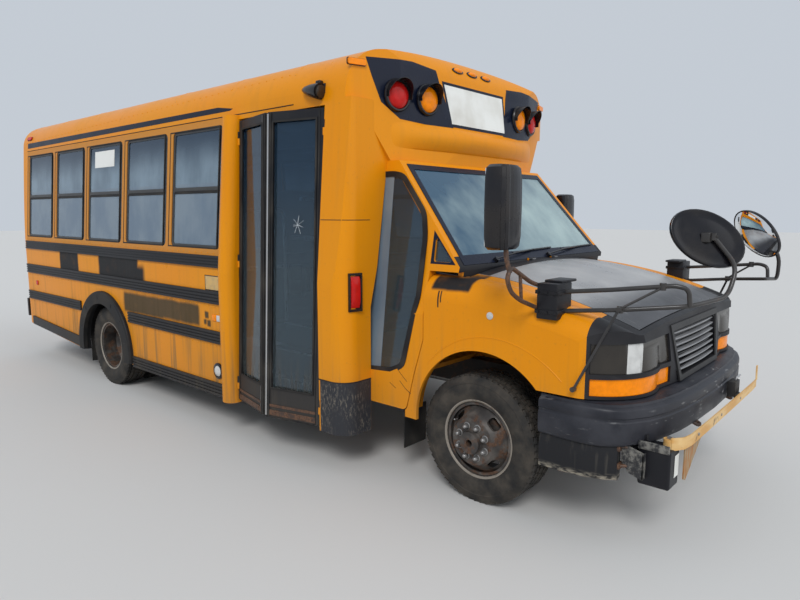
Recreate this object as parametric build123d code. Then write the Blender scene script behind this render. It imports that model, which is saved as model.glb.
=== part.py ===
from build123d import *
import math
import os

# A short school bus on a van chassis. Millimetres.
# X runs forward from the front axle, Y to the left and Z up from the ground.
# The finished pieces are moved along X at the end, so that the origin lies under the middle.

# Wheels and axles
WHEELBASE = 4039
TYRE_RADIUS = 370
TYRE_WIDTH = 225
TYRE_WALL = 14
RIM_RADIUS = 203
RIM_LIP = 221
RIM_WIDTH = 165
RIM_WALL = 8
FRONT_TYRE_Y = 852
REAR_OUTER_Y = 1100
DUAL_SPACING = 292
KINGPIN_Y = 690
SPINDLE = 25
DISC_OFFSET = 138
AXLE_END = 30
DIFF_RADIUS = 165
SPRING_SEAT = 440
HUB_RADIUS = 62

HAND_HOLES = 4

# Chassis frame
RAIL_Y = 430
RAIL_TOP = 690
RAIL_HEIGHT = 170
RAIL_WIDTH = 70
RAIL_WALL = 8
RAIL_FRONT = 815
SPRING_Y = 560
GEARBOX_Z = 570
GEARBOX_RADIUS = 96
GEARBOX_MOUNT = -1200
LIFT_PAD = (120, 70, 14)
TANK_AXLE_GAP = 681
TANK_END_GAP = 135
LIFT_X = (-900, -5250)
PIPE_Y = -285
PIPE_Z = 470

# Passenger body
BODY_HALF = 1239
BODY_REAR = -6085
BODY_FRONT = -770
SKIRT = 262
SKIRT_REAR_RISE = 120
BODY_WALL = 40
RAIL_REAR = BODY_REAR + BODY_WALL
LEAN_START = 1200
LEAN = 0.0787
EAVE_START = 2368
EAVE_RADIUS = 250
CROWN_SLOPE = 8
REAR_CORNER = 120
REAR_TOP_RADIUS = 170
CANTRAIL = 2300
ROOF_FRONT = -1290
FLOOR_TOP = 800
FLOOR_SLAB = 40

# Windows of the passenger body
WINDOW_PITCH = 782
WINDOW_REAR = -5940
WINDOW_COUNT = 5
WINDOW_POST = 84
WINDOW_BOTTOM = 1365
WINDOW_TOP = 2253
SASH = 26
SASH_DEPTH = 24
GLASS = 6
FRONT_WINDOW_END = -1400

# Rub rails: top and bottom heights
BELT_RAIL = (1230, 1318)
SEAT_RAIL = (962, 1058)
FLOOR_RAIL = (666, 759)
SKIRT_RAIL = (267, 364)
RAIL_DEPTH = 16

# Rear arch
ARCH_RADIUS = 440
ARCH_Z = 355
FLARE_WIDTH = 105
FLARE_DEPTH = 38

# Entrance
DOOR_REAR = -1885
DOOR_FRONT = -1000
DOOR_TOP = 2258
DOOR_BOTTOM = 292
DOOR_FOLD = 100
POST_RADIUS = 75
LEAF_DEPTH = 42
LEAF_STILE = 46
STEP_COUNT = 3
STEP_INNER = 806

# Cab
CAB_HALF = 1006
CAB_ROOF_HALF = 850
CAB_SHOULDER = 1050
CAB_BELT = 1300
CAB_BELT_HALF = 945
CAB_TOP = 1950
CAB_REAR = -1290
CAB_WALL = 36
SILL = 440
FIREWALL = -200
COWL = -143
COWL_HEIGHT = 1330
SCREEN_TOP = -672
CLIP_REAR = -485
DOOR_EDGE = -352
PILLAR = 45
DOOR_GAP = 7
DOOR_DEPTH = 62
HINGE_RADIUS = 8
HINGE_PIN = 4
HINGE_LENGTH = 90
HINGE_CLEAR = 2
HOOD_PIN_Z = 1336
CAB_FLOOR = 740

# Front clip
CLIP_FRONT = 835
CLIP_NOSE = 885
CLIP_WALL = 22
CLIP_INNER = 895
HOOD_HALF = 760
NOSE_TOP = 1062
NOSE_BOTTOM = 690
FRONT_ARCH_RADIUS = 452
FRONT_ARCH_X = 55
FRONT_ARCH_Z = 440
WHEEL_ROOM = 475
FASCIA_X = 640
GRILLE_HALF = 415
MOUTH_BOTTOM = 772
LAMP_REAR = 655
LAMP_SPAN = (866, 1014)
TURN_SPAN = (758, 842)
GRILLE_BARS = 7

# Bumpers
BUMPER_FRONT = 985
BUMPER_TOP = 728
BUMPER_BOTTOM = 523
VALANCE_BOTTOM = 354
VALANCE_REACH = 790
BUMPER_WALL = 30
BUMPER_END = 415
REAR_BUMPER_DEPTH = 90
REAR_BUMPER_TOP = 640
REAR_BUMPER_BOTTOM = 440

# Crossing arm
ARM_PIVOT = (985, -800)
ARM_HEIGHT = 556
ARM_TUBE = 13
ARM_LENGTH = 1420
ARM_TIP_RISE = 120
ARM_BOX = (150, 130, 190)

# Mirrors
MIRROR_X = 330
MIRROR_Y = 1250
MIRROR_Z = 1655
MIRROR_SIZE = (90, 216, 390)
MIRROR_TUBE = 11
DOOR_MIRROR_X = -612
DOOR_MIRROR_Z = 1640
DOOR_MIRROR_TALL = 300
CROSS_OVAL = (190, 130)
CROSS_TILT = -30
CROSS_X = 1015
CROSS_Y = 518
CROSS_Z = 1512

# Stop arm
STOP_PIVOT = (-1589, BODY_HALF)
STOP_STAND = 40
STOP_BARREL = 90
STOP_SIZE = 455
STOP_Z = 1140
STOP_BOX = (110, 66, 260)

# Front cap
CAP_FRONT = -655
CAP_BOW = 190
SIGN_TOP = 2471
SIGN_BOTTOM = 2215
LAMP_RADIUS = 88
LAMP_DEPTH = 30
WARNING_Y = (559, 805)
WARNING_Z = 2343

# Doors that swing
REAR_DOOR_HALF = 420
REAR_DOOR_BOTTOM = 815
REAR_DOOR_TOP = 2110
HATCH_SIZE = 600
HATCH_X = -3500
HATCH_HEIGHT = 55

# Seats
SEAT_WIDTH = 980
SEAT_DEPTH = 430
SEAT_HEIGHT = 440
SEAT_BACK = 1060
SEAT_FIRST = -5620

RUN = 0.3
FAR = 3000
REAR_AXLE = -WHEELBASE


def block(x0, x1, y0, y1, z0, z1):
    """A box between two opposite corners."""
    middle = Pos((x0 + x1) / 2, (y0 + y1) / 2, (z0 + z1) / 2)
    return middle * Box(abs(x1 - x0), abs(y1 - y0), abs(z1 - z0))


def outline(*points):
    """A flat face inside a closed line of points."""
    return make_face(Polyline(*points, close=True))


def rectangle(a0, a1, b0, b1):
    """A flat rectangle between two corners."""
    return outline((a0, b0), (a1, b0), (a1, b1), (a0, b1))


def along_x(face, x0, x1):
    """Sweeps a face drawn in Y and Z from x0 to x1."""
    return extrude(Plane.YZ.offset(x0) * face, x1 - x0)


def along_y(face, y0, y1):
    """Sweeps a face drawn in X and Z from y0 to y1."""
    plane = Plane(origin=(0, y1, 0), x_dir=(1, 0, 0), z_dir=(0, -1, 0))
    return extrude(plane * face, y1 - y0)


def along_z(face, z0, z1):
    """Sweeps a face drawn in X and Y from z0 to z1."""
    return extrude(Plane.XY.offset(z0) * face, z1 - z0)


def cross(front, side, plan):
    """The solid that shows the given front, side and plan views."""
    body = along_x(front, -2 * FAR - 500, FAR / 2)
    body = body & along_y(side, -FAR / 2, FAR / 2)
    return body & along_z(plan, 0, FAR)


def shell(front, side, plan, wall):
    """The same solid, hollow, with walls of one thickness."""
    inner = [offset(view, -wall) for view in (front, side, plan)]
    return cross(front, side, plan) - cross(*inner)


def both_sides(shape):
    """A shape and its mirror image across the centre line."""
    return [shape, mirror(shape, about=Plane.XZ)]


def tube(radius, *points, bend=60):
    """A round bar along straight runs joined by arcs."""
    if len(points) == 2:
        path = Line(*points)
    else:
        path = FilletPolyline(*points, radius=bend)
    start = Plane(origin=path @ 0, z_dir=path % 0)
    return sweep(start * Circle(radius), path=path)


def side_y(z):
    """Half width of the passenger body at a height below the eaves."""
    return BODY_HALF - LEAN * max(0, z - LEAN_START)


def side_plane(x, z, side, depth=0):
    """A plane on the leaning wall: X forward, Y up the wall and Z inward by the depth."""
    angle = math.atan(LEAN)
    outward = (0, side * math.cos(angle), math.sin(angle))
    origin = Vector(x, side * side_y(z), z) - Vector(*outward) * depth
    return Plane(origin=origin, x_dir=(-1, 0, 0), z_dir=outward)


def body_view():
    """The passenger body seen from the front: leaning sides, round eaves and a crowned roof."""
    tilt = math.atan(LEAN)
    foot = (side_y(EAVE_START), EAVE_START)
    centre = (foot[0] - EAVE_RADIUS * math.cos(tilt), foot[1] - EAVE_RADIUS * math.sin(tilt))

    def eave(angle):
        return (centre[0] + EAVE_RADIUS * math.cos(angle), centre[1] + EAVE_RADIUS * math.sin(angle))

    last = math.radians(90 - CROWN_SLOPE)
    end = eave(last)
    middle = eave((tilt + last) / 2)
    crown = end[1] + end[0] * math.tan(math.radians(CROWN_SLOPE / 2))
    flip = lambda point: (-point[0], point[1])
    low, knee = (BODY_HALF, SKIRT - 100), (BODY_HALF, LEAN_START)
    edges = [
        Line(flip(low), low),
        Line(low, knee),
        Line(knee, foot),
        ThreePointArc(foot, middle, end),
        ThreePointArc(end, (0, crown), flip(end)),
        ThreePointArc(flip(end), flip(middle), flip(foot)),
        Line(flip(foot), flip(knee)),
        Line(flip(knee), flip(low)),
    ]
    return make_face(edges)


def crown_height():
    """Height of the roof on the centre line."""
    tilt = math.atan(LEAN)
    foot = side_y(EAVE_START)
    last = math.radians(90 - CROWN_SLOPE)
    end_y = foot - EAVE_RADIUS * math.cos(tilt) + EAVE_RADIUS * math.cos(last)
    end_z = EAVE_START - EAVE_RADIUS * math.sin(tilt) + EAVE_RADIUS * math.sin(last)
    return end_z + end_y * math.tan(math.radians(CROWN_SLOPE / 2))


def body_side_view():
    """The passenger body seen from the side, with the skirt rising behind the rear wheels."""
    rise = SKIRT + SKIRT_REAR_RISE
    top = crown_height() + 20
    face = outline(
        (BODY_FRONT, SKIRT),
        (BODY_FRONT, top),
        (BODY_REAR, top),
        (BODY_REAR, rise),
        (REAR_AXLE - ARCH_RADIUS - 200, SKIRT + 20),
    )
    corner = face.vertices().sort_by(Axis.X)[:2].sort_by(Axis.Y)[-1]
    return fillet(corner, REAR_TOP_RADIUS)


def body_plan():
    """The passenger body from above: round corners, and a shorter left side behind the driver door."""
    face = outline((BODY_REAR, -BODY_HALF), (BODY_FRONT, -BODY_HALF), (BODY_FRONT, 0), (CAB_REAR, 0),
                   (CAB_REAR, BODY_HALF), (BODY_REAR, BODY_HALF))
    corners = [v for v in face.vertices() if abs(v.Y) > 1]
    return fillet(corners, REAR_CORNER)


def window_spans(side):
    """Front and rear edge of each side window opening, from the rear."""
    spans = []
    for index in range(WINDOW_COUNT):
        start = WINDOW_REAR + index * WINDOW_PITCH
        spans.append((start + WINDOW_POST / 2, start + WINDOW_PITCH - WINDOW_POST / 2))
    if side > 0:
        start = WINDOW_REAR + WINDOW_COUNT * WINDOW_PITCH
        spans.append((start + WINDOW_POST / 2, FRONT_WINDOW_END))
    return spans


def wall_patch(side, x0, x1, z0, z1, depth, thick, radius=0):
    """A flat piece parallel to the leaning wall, its outer face at a depth below the skin."""
    plane = side_plane((x0 + x1) / 2, (z0 + z1) / 2, side, depth)
    height = (z1 - z0) / math.cos(math.atan(LEAN))
    face = Rectangle(x1 - x0, height)
    if radius:
        face = fillet(face.vertices(), radius)
    return extrude(plane * face, -thick)


def make_body():
    """The side, roof, rear and entrance panels of the passenger body."""
    body = shell(body_view(), body_side_view(), body_plan(), BODY_WALL)
    inside = BODY_HALF - BODY_WALL
    body -= block(BODY_REAR + BODY_WALL, BODY_FRONT - BODY_WALL, -inside, inside, 0, SKIRT + 400)
    for side in (-1, 1):
        for x0, x1 in window_spans(side):
            body -= wall_patch(side, x0, x1, WINDOW_BOTTOM, WINDOW_TOP, -60, 200, 45)
    arch = Plane(origin=(REAR_AXLE, FAR / 2, ARCH_Z), z_dir=(0, -1, 0)) * Circle(ARCH_RADIUS)
    body -= extrude(arch, FAR)
    body -= block(REAR_AXLE - ARCH_RADIUS, REAR_AXLE + ARCH_RADIUS, -FAR, FAR, 0, ARCH_Z)
    door = block(BODY_REAR - 50, BODY_REAR + 150, -REAR_DOOR_HALF, REAR_DOOR_HALF, REAR_DOOR_BOTTOM, REAR_DOOR_TOP)
    body -= door
    for side in (-1, 1):
        body -= rear_window(side, BODY_REAR - 50, BODY_REAR + 100, 0)
    hatch = HATCH_SIZE / 2
    body -= block(HATCH_X - hatch, HATCH_X + hatch, -hatch, hatch, 2400, FAR)
    return body


def rear_window(side, x0, x1, inset):
    """The pane shape beside the rear door."""
    y0 = REAR_DOOR_HALF + 110 + inset
    y1 = BODY_HALF - 290 - inset
    face = rectangle(min(side * y0, side * y1), max(side * y0, side * y1), WINDOW_BOTTOM + inset, 2060 - inset)
    return along_x(fillet(face.vertices(), 40), x0, x1)


parts = {}


def keep(name, *shapes):
    """Files one or more solids under a piece's name."""
    solids = []
    for shape in shapes:
        if isinstance(shape, (list, tuple)):
            solids += [s for item in shape for s in item.solids()]
        else:
            solids += shape.solids()
    parts[name] = Compound(children=solids) if len(solids) > 1 else solids[0]


def build_panels():
    body = make_body()
    side_end = DOOR_REAR - 2 * POST_RADIUS
    corner = REAR_CORNER + 10
    keep("body_side_right", body & block(BODY_REAR + corner, side_end, -FAR, 0, 0, CANTRAIL))
    keep("body_side_left", body & along_x(outside_cab(1), BODY_REAR + corner, CAB_REAR))
    keep("rear_wall", body & block(BODY_REAR - 10, BODY_REAR + corner, -FAR, FAR, 0, CANTRAIL))
    roof = body & block(BODY_REAR - 10, ROOF_FRONT, -FAR, FAR, CANTRAIL, FAR)
    keep("roof", roof)
    build_entrance_frame(body, side_end)


def outside_cab(side):
    """The region beside the cab seen from the front, where the body's front walls stay."""
    low, belt, top = CAB_HALF + RUN, CAB_BELT_HALF + RUN, CAB_ROOF_HALF + RUN
    return outline((side * low, 0), (side * low, CAB_SHOULDER), (side * belt, CAB_BELT), (side * top, CAB_TOP),
                   (side * top, CANTRAIL), (side * FAR, CANTRAIL), (side * FAR, 0))


def build_entrance_frame(body, side_end):
    """The door portal: rear half-round post, header, front column and the wing to the cab."""
    portal = body & along_x(outside_cab(-1), side_end, BODY_FRONT)
    post = Plane.XY.offset(SKIRT) * (Pos(DOOR_REAR - POST_RADIUS, -BODY_HALF + 6) * Circle(POST_RADIUS))
    post = extrude(post, LEAN_START - SKIRT)
    wall_z = CANTRAIL
    lean = Plane.XY.offset(LEAN_START) * (Pos(DOOR_REAR - POST_RADIUS, -BODY_HALF + 6) * Circle(POST_RADIUS))
    top = Plane.XY.offset(wall_z) * (Pos(DOOR_REAR - POST_RADIUS, -side_y(wall_z) + 6) * Circle(POST_RADIUS))
    post += loft([lean.face(), top.face()])
    post -= along_x(offset(body_view(), -BODY_WALL), side_end - 10, DOOR_REAR + 10)
    opening = rectangle(DOOR_REAR, DOOR_FRONT, SKIRT - 100, DOOR_TOP + 14)
    portal = portal + post
    portal -= along_y(opening, -FAR / 2, 0)
    keep("entrance_frame", portal)


def build_windows():
    frames = []
    panes = []
    for side in (-1, 1):
        for x0, x1 in window_spans(side):
            whole = wall_patch(side, x0 + RUN, x1 - RUN, WINDOW_BOTTOM + RUN, WINDOW_TOP - RUN, 6, SASH_DEPTH, 44)
            middle = (WINDOW_BOTTOM + WINDOW_TOP) / 2
            lower = (x0 + SASH, x1 - SASH, WINDOW_BOTTOM + SASH, middle - SASH / 2)
            upper = (x0 + SASH, x1 - SASH, middle + SASH / 2, WINDOW_TOP - SASH)
            for span in (lower, upper):
                whole -= wall_patch(side, *span, -60, 200, 20)
                panes.append(wall_patch(side, span[0] + RUN, span[1] - RUN, span[2] + RUN, span[3] - RUN, 12, GLASS, 19.7))
            frames.append(whole)
        rear = rear_window(side, BODY_REAR + 4, BODY_REAR + 30, RUN)
        rear -= rear_window(side, BODY_REAR - 50, BODY_REAR + 100, SASH)
        frames.append(rear)
        panes.append(rear_window(side, BODY_REAR + 10, BODY_REAR + 16, SASH + RUN))
    keep("window_frames", frames)
    return panes


def build_floor():
    """The body floor on its cross sills, with the well for the entrance steps."""
    inside = BODY_HALF - BODY_WALL
    bottom = FLOOR_TOP - FLOOR_SLAB
    slab = along_z(offset(body_plan(), -BODY_WALL), bottom, FLOOR_TOP)
    slab -= block(CAB_REAR, 0, -STEP_INNER, FAR, 0, FAR)
    slab += block(CAB_REAR - BODY_WALL, CAB_REAR, -CAB_HALF, CAB_HALF, bottom, FLOOR_TOP)
    slab -= block(DOOR_REAR + 10, 0, -FAR, -STEP_INNER + 12 + RUN, 0, FAR)
    x = BODY_REAR + 250
    while x < CAB_REAR - 100:
        if abs(x - REAR_AXLE) > TYRE_RADIUS + 100:
            reach = STEP_INNER - 20 if x > DOOR_REAR - 60 else inside - 40
            slab += block(x, x + 60, -reach, reach, RAIL_TOP, bottom)
        x += 620
    slab += block(REAR_AXLE - 30, REAR_AXLE + 30, -RAIL_Y - 40, RAIL_Y + 40, RAIL_TOP, bottom)
    keep("floor", slab)


def build_stepwell():
    """Entrance steps: a folded sheet with three treads."""
    inner = -STEP_INNER
    outer = -BODY_HALF + 60
    tread = (inner - outer) / STEP_COUNT
    low = DOOR_BOTTOM + 10
    rise = (FLOOR_TOP - low) / STEP_COUNT
    points = [(outer, low)]
    for step in range(STEP_COUNT):
        points.append((outer + (step + 1) * tread, low + step * rise))
        points.append((outer + (step + 1) * tread, low + (step + 1) * rise))
    back = [(y + 12, z - 12) for y, z in reversed(points[:-1])]
    points[-1] = (points[-1][0], FLOOR_TOP - 1)
    points = [(outer, low - 12)] + points + [(points[-1][0] + 12, FLOOR_TOP - 1)] + back[:-1]
    face = outline(*points)
    keep("stepwell", along_x(face, DOOR_REAR + 12, DOOR_FRONT - 2))


def build_front_cap():
    """The moulded cap over the cab, from the roof down to the brow above the windshield."""
    brow = outline((-CAB_ROOF_HALF, CAB_TOP), (CAB_ROOF_HALF, CAB_TOP), (1045, 2230), (FAR / 2, 2300),
                   (FAR / 2, FAR), (-FAR / 2, FAR), (-FAR / 2, 2300), (-1045, 2230))
    front = (body_view() & brow).face()
    top = crown_height() + 30
    side = outline((ROOF_FRONT, CAB_TOP), (SCREEN_TOP, CAB_TOP), (CAP_FRONT, 2120), (CAP_FRONT - 10, SIGN_BOTTOM),
                   (CAP_FRONT - 60, SIGN_TOP), (CAP_FRONT - 85, top), (ROOF_FRONT, top))
    peak = side.vertices().group_by(Axis.Y)[-1].sort_by(Axis.X)[-1]
    side = fillet(peak, 190)
    bow = CAP_FRONT - CAP_BOW
    half = BODY_HALF
    nose = ThreePointArc((bow, -half), (CAP_FRONT, 0), (bow, half))
    plan = make_face([nose, Polyline((bow, half), (ROOF_FRONT, half), (ROOF_FRONT, -half), (bow, -half))])
    plan = fillet(plan.vertices().group_by(Axis.X)[-1], 190)
    cap = shell(front, side, plan, BODY_WALL)
    cap -= along_x(offset(front, -BODY_WALL), ROOF_FRONT - 10, ROOF_FRONT + 100)
    mouth = block(CAB_REAR + 60, SCREEN_TOP - 60, -CAB_ROOF_HALF + 70, CAB_ROOF_HALF - 70, CAB_TOP - 50, CAB_TOP + 80)
    cap -= mouth
    cap -= along_x(outside_cab(-1), ROOF_FRONT - 50, BODY_FRONT)
    keep("front_cap", cap)
    solid = cross(front, side, plan)
    build_warning_lamps(solid)


def build_warning_lamps(cap):
    """Round warning lamps: four on the front cap, seated on its curve, and four at the rear."""
    lamps = []
    for side in (-1, 1):
        for y in WARNING_Y:
            front = along_x(Pos(side * y, WARNING_Z) * Circle(LAMP_RADIUS), CAP_FRONT - 250, CAP_FRONT + 22 - bow_depth(y))
            lamps.append(largest(front - cap))
        for y in (620, 850):
            lamps.append(along_x(Pos(side * y, 2190) * Circle(LAMP_RADIUS), BODY_REAR - LAMP_DEPTH, BODY_REAR))
    for side in (-1, 1):
        for y, z, radius in ((1010, 1120, 90), (790, 1120, 90), (1010, 880, 62), (790, 880, 62)):
            lamps.append(along_x(Pos(side * y, z) * Circle(radius), BODY_REAR - 26, BODY_REAR))
    keep("signal_lamps", lamps)


def bow_depth(y):
    """How far the bowed front of the cap lies behind its middle."""
    return CAP_BOW * (y / BODY_HALF) ** 2


def cab_front_view(low=SILL):
    """The cab seen from the front: upright sides, a round shoulder at the belt and a narrower top."""
    half = [(CAB_HALF, low), (CAB_HALF, CAB_SHOULDER), (CAB_BELT_HALF, CAB_BELT), (CAB_ROOF_HALF, CAB_TOP)]
    return outline(*half, *[(-y, z) for y, z in reversed(half)])


def cab_side_view():
    """The cab seen from the side: sill, firewall, cowl and sloping windshield."""
    return outline((CAB_REAR, SILL), (FIREWALL - 150, SILL), (FIREWALL, 900), (COWL, COWL_HEIGHT),
                   (SCREEN_TOP, CAB_TOP), (CAB_REAR, CAB_TOP))


def pillar_x(z):
    """Rear edge of the windshield pillar at a height."""
    slope = (COWL - SCREEN_TOP) / (CAB_TOP - COWL_HEIGHT)
    return COWL - slope * (z - COWL_HEIGHT) - PILLAR


def door_outline():
    """The front door seen from the side: it follows the arch below and the windshield above."""
    head = CAB_TOP - 62
    rear = CAB_REAR + 45
    bend = COWL_HEIGHT + (COWL - PILLAR - DOOR_EDGE) * (CAB_TOP - COWL_HEIGHT) / (COWL - SCREEN_TOP)
    face = outline((-480, SILL + 12), (-415, 700), (DOOR_EDGE, 900), (DOOR_EDGE, bend), (pillar_x(head), head),
                   (rear, head), (rear, SILL + 12))
    return fillet(face.vertices().group_by(Axis.Y)[0] + face.vertices().group_by(Axis.Y)[-1], 40)


def door_window():
    """The pane in the front door, seen from the side."""
    foot, head = COWL_HEIGHT + 30, CAB_TOP - 130
    front = DOOR_EDGE - 60
    bend = COWL_HEIGHT + (COWL - PILLAR - 60 - front) * (CAB_TOP - COWL_HEIGHT) / (COWL - SCREEN_TOP)
    face = outline((front, foot), (front, bend), (pillar_x(head) - 60, head), (CAB_REAR + 120, head), (CAB_REAR + 120, foot))
    return fillet(face.vertices(), 35)


def quarter_window():
    """The small three-cornered pane ahead of the door."""
    foot = COWL_HEIGHT + 22
    front = pillar_x(foot) + 18
    face = outline((DOOR_EDGE + 24, foot), (front, foot), (DOOR_EDGE + 24, foot + 150))
    return fillet(face.vertices(), 12)


def curb_window():
    """The tall pane in the fixed curbside panel, seen from the side."""
    face = outline((-838, 650), (-613, 666), (-500, 719), (-397, 1129), (-400, 1504), (-425, 1633),
                   (-620, 1858), (-700, 1876), (-838, 1872))
    return fillet(face.vertices(), 28).face() & offset(door_outline(), -14)


def build_cab(panes):
    """Cab shell, driver door, curbside panel and panes."""
    front = cab_front_view()
    side = cab_side_view()
    plan = rectangle(CAB_REAR, COWL, -CAB_HALF, CAB_HALF)
    solid = cross(front, side, plan)
    hollow = cross(offset(front, -CAB_WALL), offset(side, -CAB_WALL), rectangle(CAB_REAR - 50, COWL, -CAB_HALF, CAB_HALF))
    cab = solid - hollow
    arch = Plane(origin=(0, FAR / 2, FRONT_ARCH_Z - 25), z_dir=(0, -1, 0)) * Circle(WHEEL_ROOM)
    cab -= extrude(arch, FAR)
    cab -= block(CLIP_REAR, 0, CLIP_INNER, FAR, 0, CAB_BELT)
    cab -= block(CLIP_REAR, 0, -FAR, -CLIP_INNER, 0, CAB_BELT)
    cab -= along_y(quarter_window(), -FAR / 2, FAR / 2)
    cab -= block(ROOF_FRONT - 50, CAB_REAR + 300, -CAB_HALF + 60, CAB_HALF - 60, SILL - 10, FAR)
    cab -= block(ROOF_FRONT, SCREEN_TOP - 100, -CAB_ROOF_HALF + 80, CAB_ROOF_HALF - 80, CAB_TOP - 60, FAR)
    screen = screen_face()
    cab -= extrude(screen_plane() * screen, 120, both=True)
    door = along_y(offset(door_outline(), DOOR_GAP), 500, FAR / 2)
    panel_seam = along_y(door_outline(), -FAR / 2, -500)
    cab -= door
    cab -= panel_seam
    cab -= block(CAB_REAR - 10, BODY_FRONT - 80, -FAR, -CAB_ROOF_HALF + 60, SILL - 10, CAB_TOP - 62)
    doghouse = block(FIREWALL - 500, COWL, -330, 330, SILL - 10, CAB_FLOOR + 160)
    cab -= doghouse
    cab -= block(-900, FIREWALL + 100, -RAIL_Y - 5, RAIL_Y + 5, 0, RAIL_TOP)
    cab -= block(CAB_REAR - 10, FIREWALL + 100, -RAIL_Y - 100, RAIL_Y + 100, 0, RAIL_TOP)
    cab -= block(CAB_REAR - 10, FIREWALL - 160, -FAR, FAR, 0, SILL + CAB_WALL + 20)
    floor_pan = block(CAB_REAR, FIREWALL - 60, -CLIP_INNER + 3, CLIP_INNER - 3, RAIL_TOP, RAIL_TOP + 36)
    for hand in (-1, 1):
        y0, y1 = hand * (CLIP_INNER - 43), hand * (CLIP_INNER - 3)
        floor_pan += block(CAB_REAR, FIREWALL - 60, min(y0, y1), max(y0, y1), SILL, RAIL_TOP + 36)
    floor_pan -= block(FIREWALL - 500, FIREWALL, -330, 330, 0, FAR)
    floor_pan -= extrude(arch, FAR)
    floor_pan -= block(CAB_REAR - 10, DOOR_FRONT - 2 + RUN, -FAR, -STEP_INNER + 12 + RUN, 0, FAR)
    cover = block(FIREWALL - 500, FIREWALL + 10, -360, 360, RAIL_TOP, CAB_FLOOR + 200)
    cover -= block(FIREWALL - 470, FIREWALL + 80, -330, 330, 0, CAB_FLOOR + 170)
    cover -= block(FIREWALL - 10, 0, -360, 360, 0, 500)
    keep("cab_shell", largest(cab + floor_pan + cover))
    pane = along_y(door_window(), 500, FAR / 2)
    keep("driver_door", side_panel(door_outline(), 1) - pane)
    keep("driver_door_glass", side_pane(door_window(), 1))
    panel = side_panel(door_outline(), -1)
    panel -= block(CAB_REAR - 10, BODY_FRONT - 80, -FAR, 0, 0, FAR)
    keep("cab_panel_right", panel - along_y(curb_window(), -FAR / 2, -500))
    screen_glass = extrude(screen_plane() * offset(screen, -RUN), GLASS, both=True)
    screen_glass = screen_glass & cross(front, offset(side, -8), plan)
    quarters = [side_pane(quarter_window(), hand) for hand in (-1, 1)]
    keep("fixed_glass", panes, quarters, screen_glass, tall_pane())


def tall_pane():
    """The flat pane of the curbside panel, from the roof down to the sill."""
    foot, head = (CAB_HALF - 10, 640), (CAB_ROOF_HALF + 8, 1890)
    section = outline((-foot[0], foot[1]), (-head[0], head[1]), (-head[0] + GLASS, head[1]), (-foot[0] + GLASS, foot[1]))
    return along_x(section, CAB_REAR, 0) & along_y(offset(curb_window(), -RUN), -FAR / 2, 0)


def side_panel(face, side):
    """A panel of the cab side as thick as a door, following the bend at the belt."""
    front = cab_front_view(SILL - 200)
    layer = along_x(front, CAB_REAR, 0) - along_x(offset(front, -DOOR_DEPTH), CAB_REAR, 0)
    low, high = (700, FAR / 2) if side > 0 else (-FAR / 2, -700)
    return largest(layer & along_y(face, low, high))


def side_pane(face, side):
    """A pane inside the cab side, following its bend at the belt."""
    front = cab_front_view(SILL - 200)
    layer = along_x(offset(front, -12), CAB_REAR, 0) - along_x(offset(front, -12 - GLASS), CAB_REAR, 0)
    low, high = (500, FAR / 2) if side > 0 else (-FAR / 2, -500)
    return layer & along_y(offset(face, -RUN), low, high)


def screen_plane():
    """The plane of the windshield, Y of the plane running up the glass."""
    run = COWL - SCREEN_TOP
    rise = CAB_TOP - COWL_HEIGHT
    middle = ((COWL + SCREEN_TOP) / 2, 0, (COWL_HEIGHT + CAB_TOP) / 2)
    return Plane(origin=middle, x_dir=(0, 1, 0), z_dir=(rise, 0, run))


def screen_face():
    """The windshield opening on its plane."""
    length = math.hypot(COWL - SCREEN_TOP, CAB_TOP - COWL_HEIGHT)
    low, high = -length / 2 + 18, length / 2 - 40
    face = outline((-880, low), (880, low), (CAB_ROOF_HALF - 55, high), (-CAB_ROOF_HALF + 55, high))
    return fillet(face.vertices(), 70)


def clip_section(x, half, shoulder, edge, top):
    """One section of the front clip: upright side, round fender top and crowned hood."""
    inner = half - 170
    turn = (half - 40, shoulder + 0.72 * (edge - shoulder))
    low = SILL - 30
    right = [
        Line((-half, low), (half, low)),
        Line((half, low), (half, shoulder)),
        ThreePointArc((half, shoulder), turn, (inner, edge)),
        ThreePointArc((inner, edge), (0, top), (-inner, edge)),
        ThreePointArc((-inner, edge), (-turn[0], turn[1]), (-half, shoulder)),
        Line((-half, shoulder), (-half, low)),
    ]
    return Plane.YZ.offset(x) * make_face(right)


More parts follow.
